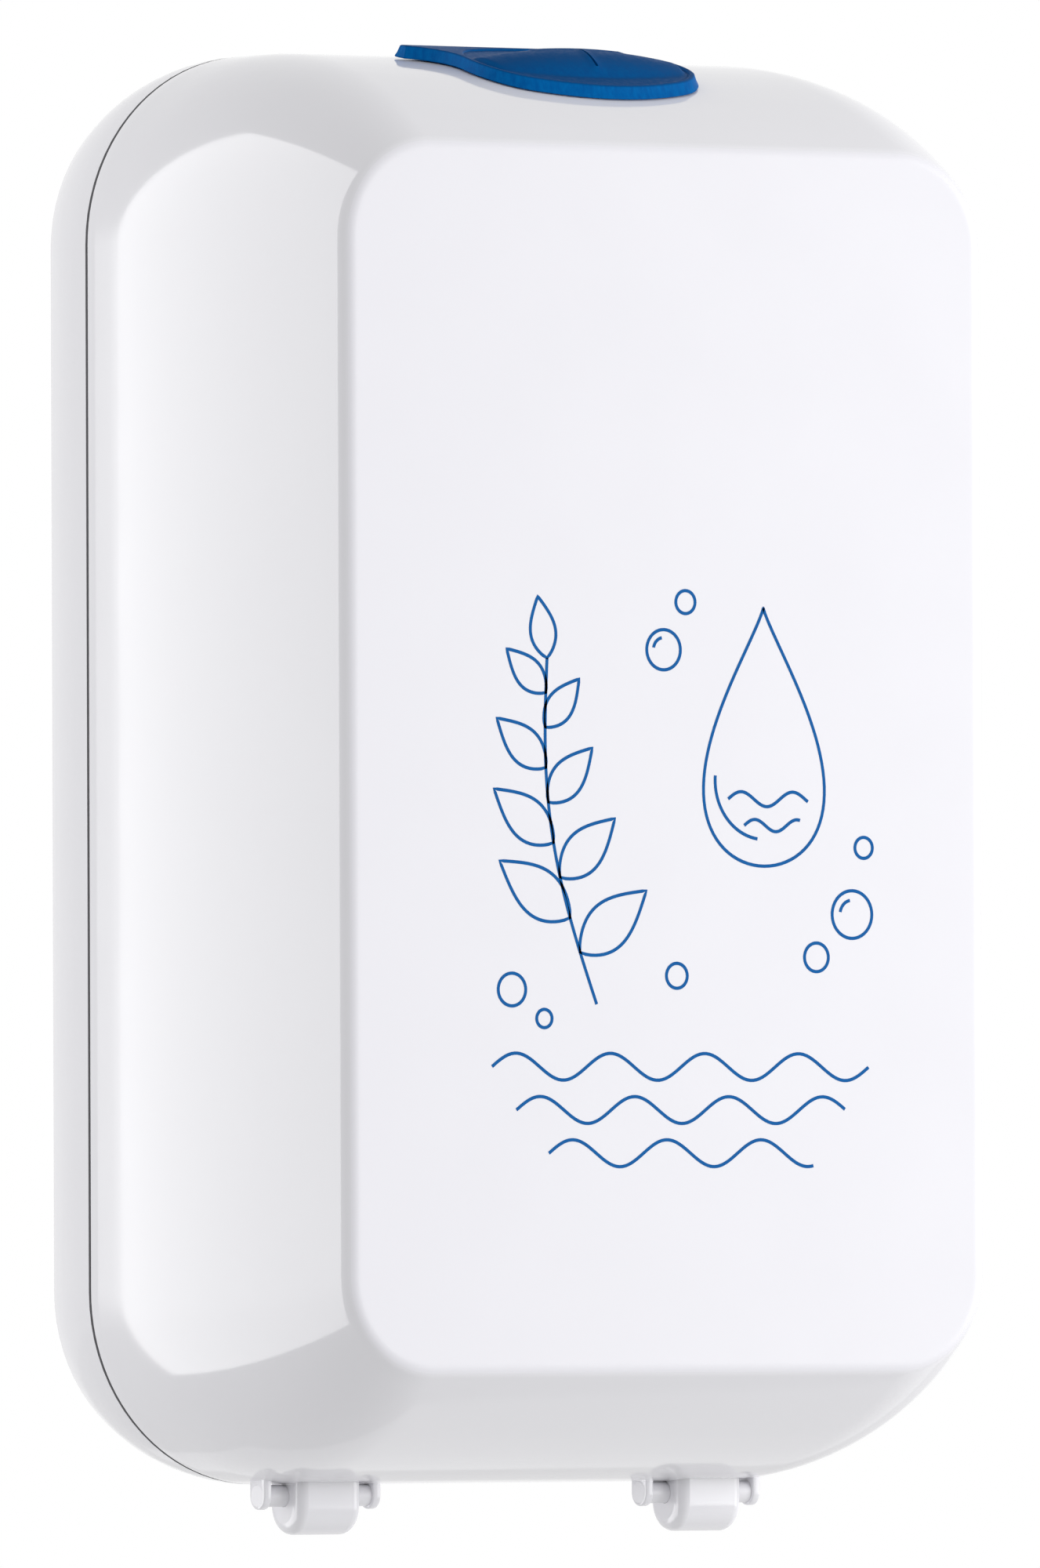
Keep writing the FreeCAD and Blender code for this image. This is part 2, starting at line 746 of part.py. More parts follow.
def common(name, base, tool):
    """Return what two shapes share."""
    item = doc.addObject("Part::Common", name)
    item.Base = base
    item.Tool = tool
    item.Refine = False
    return item


def make_outlet_membrane():
    """The rubber outlet: a rim and tab on the cover, a neck, a lip below and a slit dome."""
    lip_top = -S["wall"] - S["outlet_seat_gap"]
    lip_bottom = lip_top - S["outlet_lip_thickness"]
    neck_outset = -S["outlet_flange"] - S["outlet_neck_gap"]
    lip_outset = S["outlet_lip"] - S["outlet_flange"]
    throat_outset = neck_outset - S["outlet_skin"]
    dish_outset = -S["outlet_rim_width"]
    cap_outset = dish_outset - S["dome_groove"]
    seat, rim_top, dish_top = S["outlet_seat_gap"], S["outlet_rim"], S["outlet_dish"]
    ceiling = dish_top - S["outlet_skin"]
    high = rim_top + S["dome_half_height"]

    rim = oval_form("outlet_rim_form", 0, seat, rim_top)
    tab = outlet_form("outlet_tab_form", tab_sketch, seat, rim_top)
    neck = oval_form("outlet_neck_form", neck_outset, lip_bottom, dish_top / 2)
    lip = oval_form("outlet_lip_form", lip_outset, lip_bottom, lip_top)
    dish = oval_form("outlet_dish_form", dish_outset, dish_top, rim_top * 2)
    throat = oval_form("outlet_throat_form", throat_outset, lip_bottom - S["wall"], ceiling)
    cap = oval_form("outlet_cap_form", cap_outset, dish_top / 2, high)
    inside = oval_form("outlet_inside_form", throat_outset, ceiling - S["outlet_skin"], high)
    ring = cut("outlet_ring", join("outlet_solid", [rim, tab, neck, lip]), dish)
    dome = common("outlet_dome", ellipsoid("outlet_dome_outer", 0), cap)
    hollow = common("outlet_hollow", ellipsoid("outlet_dome_inner", S["outlet_skin"]), inside)
    domed = join("outlet_domed", [ring, dome])
    half_gap = S["slit_gap"] / 2
    cutters = join(
        "outlet_cutters",
        [
            throat,
            hollow,
            slit("outlet_slit_across", S["slit_half_width"], half_gap),
            slit("outlet_slit_deep", half_gap, S["slit_half_depth"]),
        ],
    )
    return cut("outlet_membrane", domed, cutters)


def make_hinge_pin(label, centre):
    """One pin, seated in the cover's two ears and turning in the lug between them."""
    body = new_body(label)
    reach = S["lug_width"] / 2 + S["pin_bare"] + S["ear_thickness"]
    ends = (centre - reach, centre + reach)
    rod_across(body, "Pad", S["hinge_depth"], HINGE_HEIGHT, S["pin_radius"], ends)
    return body


# A key turns the lock from above: its cam swings a hook in front of the cover's keeper

BOSS_TOP = S["back_wall"] + S["boss_height"]
LOCK_SEAT = INNER_TOP + S["lock_wall"]
LOCK_TOP = LOCK_SEAT + S["lock_head_height"]
BARREL_FOOT = LOCK_SEAT - S["lock_barrel_length"]
PLUG_SEAT = LOCK_TOP - S["plug_recess"]
CAM_TOP = BARREL_FOOT - S["plug_axial_gap"]
CAM_FOOT = CAM_TOP - S["cam_thickness"]
KEEPER_BACK = COVER_EDGE + S["lip_reach"] + S["keeper_gap"]
KEEPER_FRONT = KEEPER_BACK + S["keeper_thickness"]


def make_lock_barrel():
    """The lock's fixed sleeve, with its head sunk in the rear housing's top."""
    body = new_body("lock_barrel")
    rod_up(body, "Pad", S["lock_depth"], S["lock_barrel_radius"], (BARREL_FOOT, LOCK_TOP))
    rod_up(body, "Pad", S["lock_depth"], S["lock_head_radius"], (LOCK_SEAT, LOCK_TOP))
    gap = S["plug_running_gap"]
    through = (BARREL_FOOT - S["wall"], LOCK_TOP + S["wall"])
    rod_up(body, "Pocket", S["lock_depth"], S["plug_radius"] + gap, through)
    recess = (PLUG_SEAT, LOCK_TOP + S["wall"])
    rod_up(body, "Pocket", S["lock_depth"], S["plug_head_radius"] + gap, recess)
    return body


def make_lock_nut():
    """The six-sided nut that clamps the sleeve under the rear housing's top."""
    body = new_body("lock_nut")
    sketch = new_sketch(body, "XY_Plane", INNER_TOP - S["lock_nut_height"])
    half = S["lock_nut_width"] / 2
    corner = S["lock_nut_width"] / Size.of(3).sqrt()
    middle = -S["lock_depth"]
    upper = [(corner, middle), (corner / 2, middle + half), (-corner / 2, middle + half)]
    lower = [(-corner, middle), (-corner / 2, middle - half), (corner / 2, middle - half)]
    polygon(sketch, upper + lower)
    circle(sketch, 0, middle, S["lock_barrel_radius"] + S["screw_gap"])
    feature(body, "Pad", sketch, S["lock_nut_height"])
    return body


def make_lock_plug():
    """The turning core of the lock, with a slot for the key and a bore for the cam's screw."""
    body = new_body("lock_plug")
    top = LOCK_TOP - S["plug_top_gap"]
    rod_up(body, "Pad", S["lock_depth"], S["plug_radius"], (CAM_TOP, top))
    head = (PLUG_SEAT + S["plug_axial_gap"], top)
    rod_up(body, "Pad", S["lock_depth"], S["plug_head_radius"], head)
    half_length, half_width = S["key_slot_length"] / 2, S["key_slot_width"] / 2
    block(
        body,
        "Pocket",
        (-half_length, half_length),
        (S["lock_depth"] - half_width, S["lock_depth"] + half_width),
        (top - S["key_slot_depth"], top + S["wall"]),
    )
    bore = (CAM_TOP - S["wall"], CAM_TOP + S["screw_bite"])
    rod_up(body, "Pocket", S["lock_depth"], S["screw_radius"] + S["screw_gap"], bore)
    return body


def make_lock_cam():
    """The lock's lever: a round hub, a flat arm and an upturned hook, drawn unlocked."""
    body = new_body("lock_cam")
    half = S["cam_half_width"]
    depths = (S["lock_depth"] - half, S["lock_depth"] + half)
    tip = S["cam_hook_reach"] + S["cam_thickness"]
    rod_up(body, "Pad", S["lock_depth"], S["cam_hub_radius"], (CAM_FOOT, CAM_TOP))
    block(body, "Pad", (0, tip), depths, (CAM_FOOT, CAM_TOP))
    hook = (CAM_FOOT, CAM_FOOT + S["cam_hook_height"])
    block(body, "Pad", (S["cam_hook_reach"], tip), depths, hook)
    bore = (CAM_FOOT - S["wall"], CAM_TOP + S["wall"])
    rod_up(body, "Pocket", S["lock_depth"], S["screw_radius"] + S["screw_gap"], bore)
    return body


def make_lock_cam_screw():
    """The screw that holds the cam to the lock's core."""
    body = new_body("lock_cam_screw")
    tip = CAM_TOP + S["screw_bite"] - S["screw_tip_gap"]
    foot = CAM_FOOT - S["screw_head_height"]
    rod_up(body, "Pad", S["lock_depth"], S["screw_radius"], (foot, tip))
    rod_up(body, "Pad", S["lock_depth"], S["screw_head_radius"], (foot, CAM_FOOT))
    return body


def make_screws(label, places, seat):
    """A set of like screws, each with a round head on its seat and its shank in a boss."""
    screws = []
    for number, (x, z) in enumerate(places, start=1):
        body = new_body(f"{label}_{number}")
        tip = BOSS_TOP - S["screw_bite"] + S["screw_tip_gap"]
        rod_through(body, "Pad", x, z, S["screw_radius"], (tip, seat + S["screw_head_height"] / 2))
        head = (seat, seat + S["screw_head_height"])
        rod_through(body, "Pad", x, z, S["screw_head_radius"], head)
        screws.append(body)
    group = doc.addObject("Part::Compound", label)
    group.Links = screws
    return group


# The roll of wipes stands in a cup that is screwed to the rear housing

TRAY_FOOT = S["tray_floor_height"] - HALF_HEIGHT
TRAY_FLOOR = TRAY_FOOT + S["tray_thickness"]
TRAY_FACE = BOSS_TOP + S["tray_thickness"]
CUP_BACK = TRAY_FACE + S["tray_cup_gap"]
CUP_FRONT = S["body_depth"] - S["wall"] - S["cup_front_gap"] - S["tray_thickness"]
CUP_RADIUS = (CUP_FRONT - CUP_BACK) / 2
ROLL_DEPTH = CUP_BACK + CUP_RADIUS
ROLL_RADIUS = CUP_RADIUS - S["roll_side_gap"]


def tray_screw_places():
    """Return where the tray's four screws stand, across and up."""
    half = S["tray_screw_spacing"] / 2
    low = TRAY_FOOT + S["tray_screw_low"]
    return [(x, z) for x in (-half, half) for z in (low, low + S["tray_screw_pitch"])]


def make_refill_tray():
    """The cup that carries the roll, with its back plate on the rear housing's bosses."""
    body = new_body("refill_tray")
    cup = new_sketch(body, "XY_Plane", TRAY_FOOT)
    circle(cup, 0, -ROLL_DEPTH, CUP_RADIUS + S["tray_thickness"])
    feature(body, "Pad", cup, S["tray_thickness"] + S["tray_rim"])
    half = S["tray_back_half"]
    block(body, "Pad", (-half, half), (BOSS_TOP, ROLL_DEPTH), (TRAY_FOOT, TRAY_FLOOR))
    back_heights = (TRAY_FOOT, TRAY_FOOT + S["tray_back_height"])
    block(body, "Pad", (-half, half), (BOSS_TOP, TRAY_FACE), back_heights)
    well = new_sketch(body, "XY_Plane", TRAY_FLOOR)
    circle(well, 0, -ROLL_DEPTH, CUP_RADIUS)
    feature(body, "Pocket", well, S["tray_back_height"])
    for x, z in tray_screw_places():
        rod_through(body, "Pocket", x, z, S["screw_radius"] + S["screw_gap"], (0, TRAY_FACE + S["wall"]))
    return body


def make_wipe_roll():
    """The roll of wipes, which unwinds upwards from its hollow middle."""
    body = new_body("wipe_roll")
    sketch = new_sketch(body, "XY_Plane", TRAY_FLOOR + S["roll_gap"])
    circle(sketch, 0, -ROLL_DEPTH, ROLL_RADIUS)
    circle(sketch, 0, -ROLL_DEPTH, S["roll_core_radius"])
    feature(body, "Pad", sketch, S["roll_height"])
    return body


def build_all():
    """Build every sub-part and return them in order."""
    left, right = lug_centres()
    return [
        make_rear_housing(),
        make_front_cover(),
        make_outlet_membrane(),
        make_hinge_pin("hinge_pin_left", left),
        make_hinge_pin("hinge_pin_right", right),
        make_lock_barrel(),
        make_lock_nut(),
        make_lock_plug(),
        make_lock_cam(),
        make_lock_cam_screw(),
        make_refill_tray(),
        make_screws("tray_screws", tray_screw_places(), TRAY_FACE),
        make_wipe_roll(),
    ]


def write_parts(parts):
    """Check the document and every sub-part, then write one file for each."""
    doc.recompute()
    for item in doc.Objects:
        if "Invalid" in item.State or "Error" in item.State:
            raise RuntimeError(f"{item.Label}: {item.getStatusString()}")
    for item in parts:
        if item.Shape.isNull() or not item.Shape.isValid():
            raise RuntimeError(f"{item.Label} has no valid shape")
    os.makedirs("parts", exist_ok=True)
    for item in parts:
        item.Shape.exportStep(f"parts/{item.Label}.step")
        print(item.Label, len(item.Shape.Solids), round(item.Shape.Volume))


write_parts(build_all())
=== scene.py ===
"""Wall dispenser for wet seat wipes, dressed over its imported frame.

Lengths in the classes are millimetres, and a mesh is scaled to metres when it is made. X runs to
the right, Z up, and a depth is measured from the wall towards the front, so a depth is -Y.
"""

import logging
import math
from dataclasses import dataclass, field
from enum import Enum

import bpy
import numpy as np
from mathutils import Matrix, Vector


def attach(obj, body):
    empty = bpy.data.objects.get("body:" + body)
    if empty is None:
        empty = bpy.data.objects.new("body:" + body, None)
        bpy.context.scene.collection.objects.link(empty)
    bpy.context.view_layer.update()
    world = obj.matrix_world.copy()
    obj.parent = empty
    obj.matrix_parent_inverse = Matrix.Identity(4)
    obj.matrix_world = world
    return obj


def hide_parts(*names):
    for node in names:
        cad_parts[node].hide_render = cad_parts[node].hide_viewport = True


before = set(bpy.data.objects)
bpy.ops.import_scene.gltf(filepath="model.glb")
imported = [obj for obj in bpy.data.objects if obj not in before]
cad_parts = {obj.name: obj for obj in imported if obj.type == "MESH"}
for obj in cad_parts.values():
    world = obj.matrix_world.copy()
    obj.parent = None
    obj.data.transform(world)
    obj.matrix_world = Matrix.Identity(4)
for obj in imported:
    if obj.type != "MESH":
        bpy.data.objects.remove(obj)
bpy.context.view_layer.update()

LOG = logging.getLogger("dispenser")
MM = 0.001
HALF_WIDTH, HALF_HEIGHT, SEAM_CORNER = 94.0, 150.0, 40.5
CUT_HEIGHTS = (190.0, 100.0)
ROD_SIDES = 40

Array = np.ndarray
Colour = tuple[float, float, float]
Span = tuple[float, float]
Item = bpy.types.Object
Node = bpy.types.Node
Socket = bpy.types.NodeSocket


class Body(Enum):
    """The bodies of the frame that new pieces ride on."""

    REAR = "rear"
    COVER = "cover"


class Slot(Enum):
    """The record's material slots that new pieces take their finish from."""

    CASE = "white_case"
    RUBBER = "blue_rubber"
    FABRIC = "wipe_fabric"


class Cut(Enum):
    """What a tool does to a blank."""

    ADD = "UNION"
    TAKE = "DIFFERENCE"


# Skins: meshes worked out as whole arrays


@dataclass
class Skin:
    """Points and faces gathered for one mesh, in millimetres as (x, depth, z)."""

    points: list[Array] = field(default_factory=list)
    faces: list[tuple[int, ...]] = field(default_factory=list)
    count: int = 0

    def tube(self, rings: Array, joined: bool = False) -> None:
        """Add a tube of rings, each ring joined to the next by four-sided faces.

        Point (i, j) of the grid is joined to (i, j + 1), (i + 1, j + 1) and (i + 1, j). The ends
        are flat, unless the last ring is joined to the first.

        Args:
            rings: Points with the shape (rings, points round a ring, 3).
            joined: True for a tube that closes on itself.
        """
        rows, across = rings.shape[:2]
        here = np.arange(rows * across).reshape(rows, across) + self.count
        after = np.roll(here, -1, axis=0) if joined else here[1:]
        start = here if joined else here[:-1]
        quads = np.stack([start, np.roll(start, -1, 1), np.roll(after, -1, 1), after], axis=-1)
        self.faces += [tuple(quad) for quad in quads.reshape(-1, 4).tolist()]
        if not joined:
            self.faces += [tuple(here[0, ::-1].tolist()), tuple(here[-1].tolist())]
        self.points.append(rings.reshape(-1, 3))
        self.count += rows * across

    def box(self, across: Span, depths: Span, heights: Span, edge: float = 0.0) -> None:
        """Add a block whose upright edges are cut back by edge.

        Args:
            across: Least and greatest X.
            depths: Least and greatest depth.
            heights: Least and greatest Z.
            edge: Length of the chamfer on the upright edges.
        """
        (x0, x1), (v0, v1), (z0, z1) = across, depths, heights
        plan = np.array([
            (x0 + edge, v0), (x1 - edge, v0), (x1, v0 + edge), (x1, v1 - edge),
            (x1 - edge, v1), (x0 + edge, v1), (x0, v1 - edge), (x0, v0 + edge),
        ]) if edge else np.array([(x0, v0), (x1, v0), (x1, v1), (x0, v1)])
        self.prism(plan, (z1, z0))

    def prism(self, plan: Array, heights: Span) -> None:
        """Add an upright prism: plan points (x, depth) carried from one height to another."""
        self.tube(np.stack([upright(plan, z) for z in heights]))

    def rod(self, across: Span, depth: float, height: float, radius: float) -> None:
        """Add a round rod along X: a circle carried from one end to the other.

        Args:
            across: Where the rod starts and ends.
            depth: The axis's depth.
            height: The axis's Z.
            radius: The rod's radius.
        """
        turn = np.linspace(0, math.tau, ROD_SIDES, endpoint=False)
        circle = np.stack([depth + radius * np.cos(turn), height - radius * np.sin(turn)], axis=-1)
        self.tube(np.stack([np.insert(circle, 0, x, axis=1) for x in across]))

    def make(self, name: str, smooth: float = 32.0) -> Item:
        """Turn what was gathered into an object.

        Args:
            name: The object's name.
            smooth: Edges that turn by more than this many degrees stay sharp.

        Returns:
            The new object, which sits at the origin.
        """
        places = np.concatenate(self.points) * (MM, -MM, MM)
        mesh = bpy.data.meshes.new(name)
        mesh.from_pydata(places.tolist(), [], self.faces)
        item = bpy.data.objects.new(name, mesh)
        bpy.context.scene.collection.objects.link(item)
        shade(mesh, smooth)
        return item


def shade(mesh: bpy.types.Mesh, smooth: float) -> None:
    """Shade a mesh softly and leave its clear edges sharp.

    Args:
        mesh: The mesh.
        smooth: Edges that turn by more than this many degrees stay sharp.
    """
    mesh.validate()
    mesh.shade_smooth()
    mesh.set_sharp_from_angle(angle=math.radians(smooth))


def upright(plan: Array, height: float | Array) -> Array:
    """Return plan points (x, depth) as points (x, depth, z) at a height."""
    return np.column_stack([plan, np.broadcast_to(height, len(plan))])


def work(blank: Item, steps: list[tuple[Cut, Skin]], smooth: float) -> None:
    """Add tools to a blank or take them away, one after another, and keep the result as its mesh.

    Args:
        blank: The object to work on.
        steps: What each tool does, and its skin.
        smooth: Edges that turn by more than this many degrees stay sharp.
    """
    tools = []
    for number, (cut, skin) in enumerate(steps):
        tool = skin.make(f"{blank.name}_tool_{number}")
        step = blank.modifiers.new(f"step_{number}", "BOOLEAN")
        step.operation, step.solver, step.object = cut.value, "EXACT", tool
        tools.append(tool)
    graph = bpy.context.evaluated_depsgraph_get()
    mesh = bpy.data.meshes.new_from_object(blank.evaluated_get(graph))
    old = blank.data
    blank.modifiers.clear()
    blank.data = mesh
    bpy.data.meshes.remove(old)
    mesh.name = blank.name
    for tool in tools:
        data = tool.data
        bpy.data.objects.remove(tool)
        bpy.data.meshes.remove(data)
    shade(mesh, smooth)


def arc_points(centre: Span, radius: float, turns: Array) -> Array:
    """Return points on a circle, turns measured from the second axis towards the first."""
    return np.column_stack([centre[0] + radius * np.sin(turns), centre[1] + radius * np.cos(turns)])


def rounded_outline(half_width: Array, low: Array, high: Array, corner: Array,
                    corner_steps: int, side_steps: int) -> Array:
    """Return rounded rectangles in the plane of X and Z, clockwise seen from the front.

    A corner point is its centre plus the corner radius times (cos, sin) of the turn, and a side
    divides the line from one corner's end to the next one's start evenly.

    Args:
        half_width: Half the width of each rectangle.
        low: The lowest Z of each.
        high: The highest Z of each.
        corner: The corner radius of each.
        corner_steps: Steps round one corner.
        side_steps: Steps along one side.

    Returns:
        Points with the shape (rectangles, points round one, 2).
    """
    turn = np.linspace(0, math.pi / 2, corner_steps + 1)
    turns = turn[None, :] + np.arange(4)[:, None] * math.pi / 2
    sign_x = np.array([1, -1, -1, 1])
    centre_x = sign_x * (half_width - corner)[:, None]
    middle_high, middle_low = (high - corner)[:, None], (low + corner)[:, None]
    centre_z = np.concatenate([middle_high, middle_high, middle_low, middle_low], axis=1)
    reach = corner[:, None, None]
    arcs = np.stack([
        centre_x[:, :, None] + reach * np.cos(turns),
        centre_z[:, :, None] + reach * np.sin(turns),
    ], axis=-1)
    share = np.linspace(0, 1, side_steps + 1)[1:-1, None]
    ends, starts = arcs[:, :, -1:], np.roll(arcs[:, :, :1], -1, axis=1)
    sides = ends + (starts - ends) * share
    whole = np.concatenate([arcs, sides], axis=2)
    return whole.reshape(len(half_width), -1, 2)[:, ::-1]


# Shared effects: node groups, each built once and placed in several finishes


MIX_SHARE, MIX_LOW, MIX_HIGH, MIX_RESULT = 0, 6, 7, 2
NOWHERE = (0.0, 0.0, 0.0)


class Web:
    """A shader node tree that is filled in node by node."""

    def __init__(self, tree: bpy.types.NodeTree) -> None:
        """Start from an empty tree."""
        self.tree = tree
        tree.nodes.clear()

    def add(self, kind: str, **values: object) -> Node:
        """Add a node and set its plain settings.

        Args:
            kind: The node's type.
            values: Settings of the node by name.

        Returns:
            The new node.
        """
        node = self.tree.nodes.new(kind)
        for name, value in values.items():
            setattr(node, name, value)
        return node

    def join(self, socket: Socket, source: object) -> None:
        """Link an output socket to an input, or set the input to a plain value.

        Args:
            socket: The input.
            source: The output socket, or the value.
        """
        if isinstance(source, Socket):
            self.tree.links.new(source, socket)
        else:
            socket.default_value = source

    def feed(self, node: Node, **sockets: object) -> Node:
        """Set or link a node's inputs by name, with _ for a space in the name.

        Args:
            node: The node to feed.
            sockets: A value, or an output socket to link, for each input.

        Returns:
            The same node.
        """
        for name, source in sockets.items():
            self.join(node.inputs[name.replace("_", " ")], source)
        return node

    def pair(self, node: Node, first: object, second: object) -> Node:
        """Set or link a node's first two inputs.

        Args:
            node: The node to feed.
            first: A value, or an output socket to link, for the first input.
            second: One for the second input.

        Returns:
            The same node.
        """
        for socket, source in zip(node.inputs, (first, second)):
            self.join(socket, source)
        return node

    def mix(self, share: Socket, low: object, high: object) -> Socket:
        """Mix two colours.

        Args:
            share: How much of the second colour.
            low: The first colour, or an output socket.
            high: The second colour, or an output socket.

        Returns:
            The mixed colour's socket.
        """
        node = self.add("ShaderNodeMix", data_type="RGBA")
        self.join(node.inputs[MIX_SHARE], share)
        for place, source in ((MIX_LOW, low), (MIX_HIGH, high)):
            plain = not isinstance(source, Socket)
            self.join(node.inputs[place], (*source, 1.0) if plain else source)
        return node.outputs[MIX_RESULT]

    def sum(self, deed: str, first: object, second: object) -> Socket:
        """Return the outcome of one Math operation on two numbers or output sockets."""
        return self.pair(self.add("ShaderNodeMath", operation=deed), first, second).outputs[0]

    def vector(self, deed: str, first: object, second: object = NOWHERE) -> Socket:
        """Return the vector, or the length, that one Vector Math operation gives."""
        node = self.pair(self.add("ShaderNodeVectorMath", operation=deed), first, second)
        return node.outputs["Value" if deed == "LENGTH" else "Vector"]

    def noise(self, where: Socket, scale: object, detail: float, rough: float = 0.5) -> Socket:
        """Return soft noise about one half."""
        return self.feed(self.add("ShaderNodeTexNoise"), Vector=where, Scale=scale, Detail=detail,
                         Roughness=rough).outputs[0]

    def spread(self, value: Socket, given: Span, low: object = 0.0, high: object = 1.0) -> Socket:
        """Return a value carried from a given range to another one, and held at its ends."""
        return self.feed(self.add("ShaderNodeMapRange"), Value=value, From_Min=given[0],
                         From_Max=given[1], To_Min=low, To_Max=high).outputs[0]

    def either(self, share: Socket, low: Node, high: Node) -> Socket:
        """Mix two shaders.

        Args:
            share: How much of the second shader.
            low: The first shader's node.
            high: The second shader's node.

        Returns:
            The mixed shader's socket.
        """
        node = self.add("ShaderNodeMixShader")
        for socket, source in zip(node.inputs, (share, low.outputs[0], high.outputs[0])):
            self.join(socket, source)
        return node.outputs[0]


class Effect(Enum):
    """The shared effects: their group names."""

    GRAIN = "moulded_grain"
    GLOSS = "handled_gloss"
    TINT = "tint_drift"
    STREAK = "drawn_streaks"
    EDGE = "outer_edge"


FLOAT, VECTOR, COLOUR = "NodeSocketFloat", "NodeSocketVector", "NodeSocketColor"
GRAIN_NOISE, GLOSS_NOISE, TINT_NOISE, STREAK_NOISE = (3.0, 0.6), (4.0, 0.5), (5.0, 0.5), (4.0, 0.65)
GLOSS_RANGE, TINT_RANGE, STREAK_RANGE = (0.3, 0.7), (0.35, 0.65), (0.36, 0.64)


def new_group(effect: Effect, inputs: dict[str, str], output: tuple[str, str]
              ) -> tuple[Web, bpy.types.NodeOutputs, Node]:
    """Start a node group with named sockets.

    Args:
        effect: The effect that the group gives.
        inputs: Socket kind of each input by name, besides the coordinates.
        output: Name and socket kind of the output.

    Returns:
        The group's web, the sockets given to it and its output node.
    """
    tree = bpy.data.node_groups.new(effect.value, "ShaderNodeTree")
    for name, kind in {"Vector": VECTOR, **inputs}.items():
        tree.interface.new_socket(name, in_out="INPUT", socket_type=kind)
    tree.interface.new_socket(output[0], in_out="OUTPUT", socket_type=output[1])
    web = Web(tree)
    return web, web.add("NodeGroupInput").outputs, web.add("NodeGroupOutput")


def build_effects() -> None:
    """Build the shared node groups.

    moulded_grain is noise about zero times an amount, for a bump's height. handled_gloss is soft
    noise carried to a range of roughness. tint_drift is soft noise that mixes two colours.
    drawn_streaks is noise on a stretched vector, carried to a mask. outer_edge is a mask of the
    points that lie further than a reach from a core box, so of a rounded box's outer edge.
    """
    web, given, out = new_group(Effect.GRAIN, {"Scale": FLOAT, "Amount": FLOAT}, ("Height", FLOAT))
    noise = web.noise(given["Vector"], given["Scale"], *GRAIN_NOISE)
    web.feed(out, Height=web.sum("MULTIPLY", web.sum("SUBTRACT", noise, 0.5), given["Amount"]))

    web, given, out = new_group(Effect.GLOSS, {"Scale": FLOAT, "Low": FLOAT, "High": FLOAT},
                                ("Roughness", FLOAT))
    noise = web.noise(given["Vector"], given["Scale"], *GLOSS_NOISE)
    web.feed(out, Roughness=web.spread(noise, GLOSS_RANGE, given["Low"], given["High"]))

    web, given, out = new_group(Effect.TINT, {"Scale": FLOAT, "First": COLOUR, "Second": COLOUR},
                                ("Color", COLOUR))
    share = web.spread(web.noise(given["Vector"], given["Scale"], *TINT_NOISE), TINT_RANGE)
    web.feed(out, Color=web.mix(share, given["First"], given["Second"]))

    web, given, out = new_group(Effect.STREAK, {"Stretch": VECTOR, "Scale": FLOAT}, ("Mask", FLOAT))
    drawn = web.vector("MULTIPLY", given["Vector"], given["Stretch"])
    web.feed(out, Mask=web.spread(web.noise(drawn, given["Scale"], *STREAK_NOISE), STREAK_RANGE))

    web, given, out = new_group(Effect.EDGE, {"Core": VECTOR, "Reach": FLOAT}, ("Mask", FLOAT))
    beyond = web.vector("SUBTRACT", web.vector("ABSOLUTE", given["Vector"]), given["Core"])
    apart = web.vector("LENGTH", web.vector("MAXIMUM", beyond))
    web.feed(out, Mask=web.sum("GREATER_THAN", apart, given["Reach"]))


# Finishes


Paint = tuple[Socket, Socket, Socket]
WHOLE = (0.0, 1.0)
UPWARD = "upward"


@dataclass(frozen=True)
class Finish:
    """What every finish shares: a name, two near colours, a range of roughness and a fine grain."""

    name: str
    first: Colour
    second: Colour
    rough: Span
    metal: float = 0.0
    specular: float = 0.5
    sheen: float = 0.0
    patch: float = 40.0
    grain_scale: float = 1800.0
    grain_depth: float = 0.4
    bump: float = 0.05
    bump_reach: float = 0.05

    def effect(self, web: Web, effect: Effect, where: Socket, **sockets: object) -> Socket:
        """Place a shared effect.

        Args:
            web: The material's web.
            effect: The effect to place.
            where: The coordinates that it reads.
            sockets: Values of its other inputs.

        Returns:
            The effect's output socket.
        """
        node = web.add("ShaderNodeGroup", node_tree=bpy.data.node_groups[effect.value])
        return web.feed(node, Vector=where, **sockets).outputs[0]

    def tint(self, web: Web, where: Socket) -> Socket:
        """Return the drifting colour of this finish."""
        return self.effect(web, Effect.TINT, where, Scale=self.patch, First=(*self.first, 1.0),
                           Second=(*self.second, 1.0))

    def gloss(self, web: Web, where: Socket, rough: Span) -> Socket:
        """Return roughness that drifts within a range."""
        return self.effect(web, Effect.GLOSS, where, Scale=self.patch, Low=rough[0], High=rough[1])

    def grain(self, web: Web, where: Socket) -> Socket:
        """Return the height of the fine grain."""
        return self.effect(web, Effect.GRAIN, where, Scale=self.grain_scale, Amount=self.grain_depth)

    def paint(self, web: Web, where: Socket) -> Paint:
        """Return the sockets for the colour, the roughness and the bump's height."""
        return self.tint(web, where), self.gloss(web, where, self.rough), self.grain(web, where)

    def build(self) -> bpy.types.Material:
        """Make the material: one shader, fed by what paint returns.

        Returns:
            The finished material.
        """
        material = bpy.data.materials.new(self.name)
        material.use_nodes = True
        web = Web(material.node_tree)
        shader = web.add("ShaderNodeBsdfPrincipled")
        web.feed(web.add("ShaderNodeOutputMaterial"), Surface=shader.outputs[0])
        colour, rough, height = self.paint(web, web.add("ShaderNodeTexCoord").outputs["Object"])
        bump = web.feed(web.add("ShaderNodeBump"), Height=height, Strength=self.bump,
                        Distance=self.bump_reach * MM)
        web.feed(shader, Base_Color=colour, Roughness=rough, Normal=bump.outputs[0],
                 Metallic=self.metal, Specular_IOR_Level=self.specular, Sheen_Weight=self.sheen)
        return material


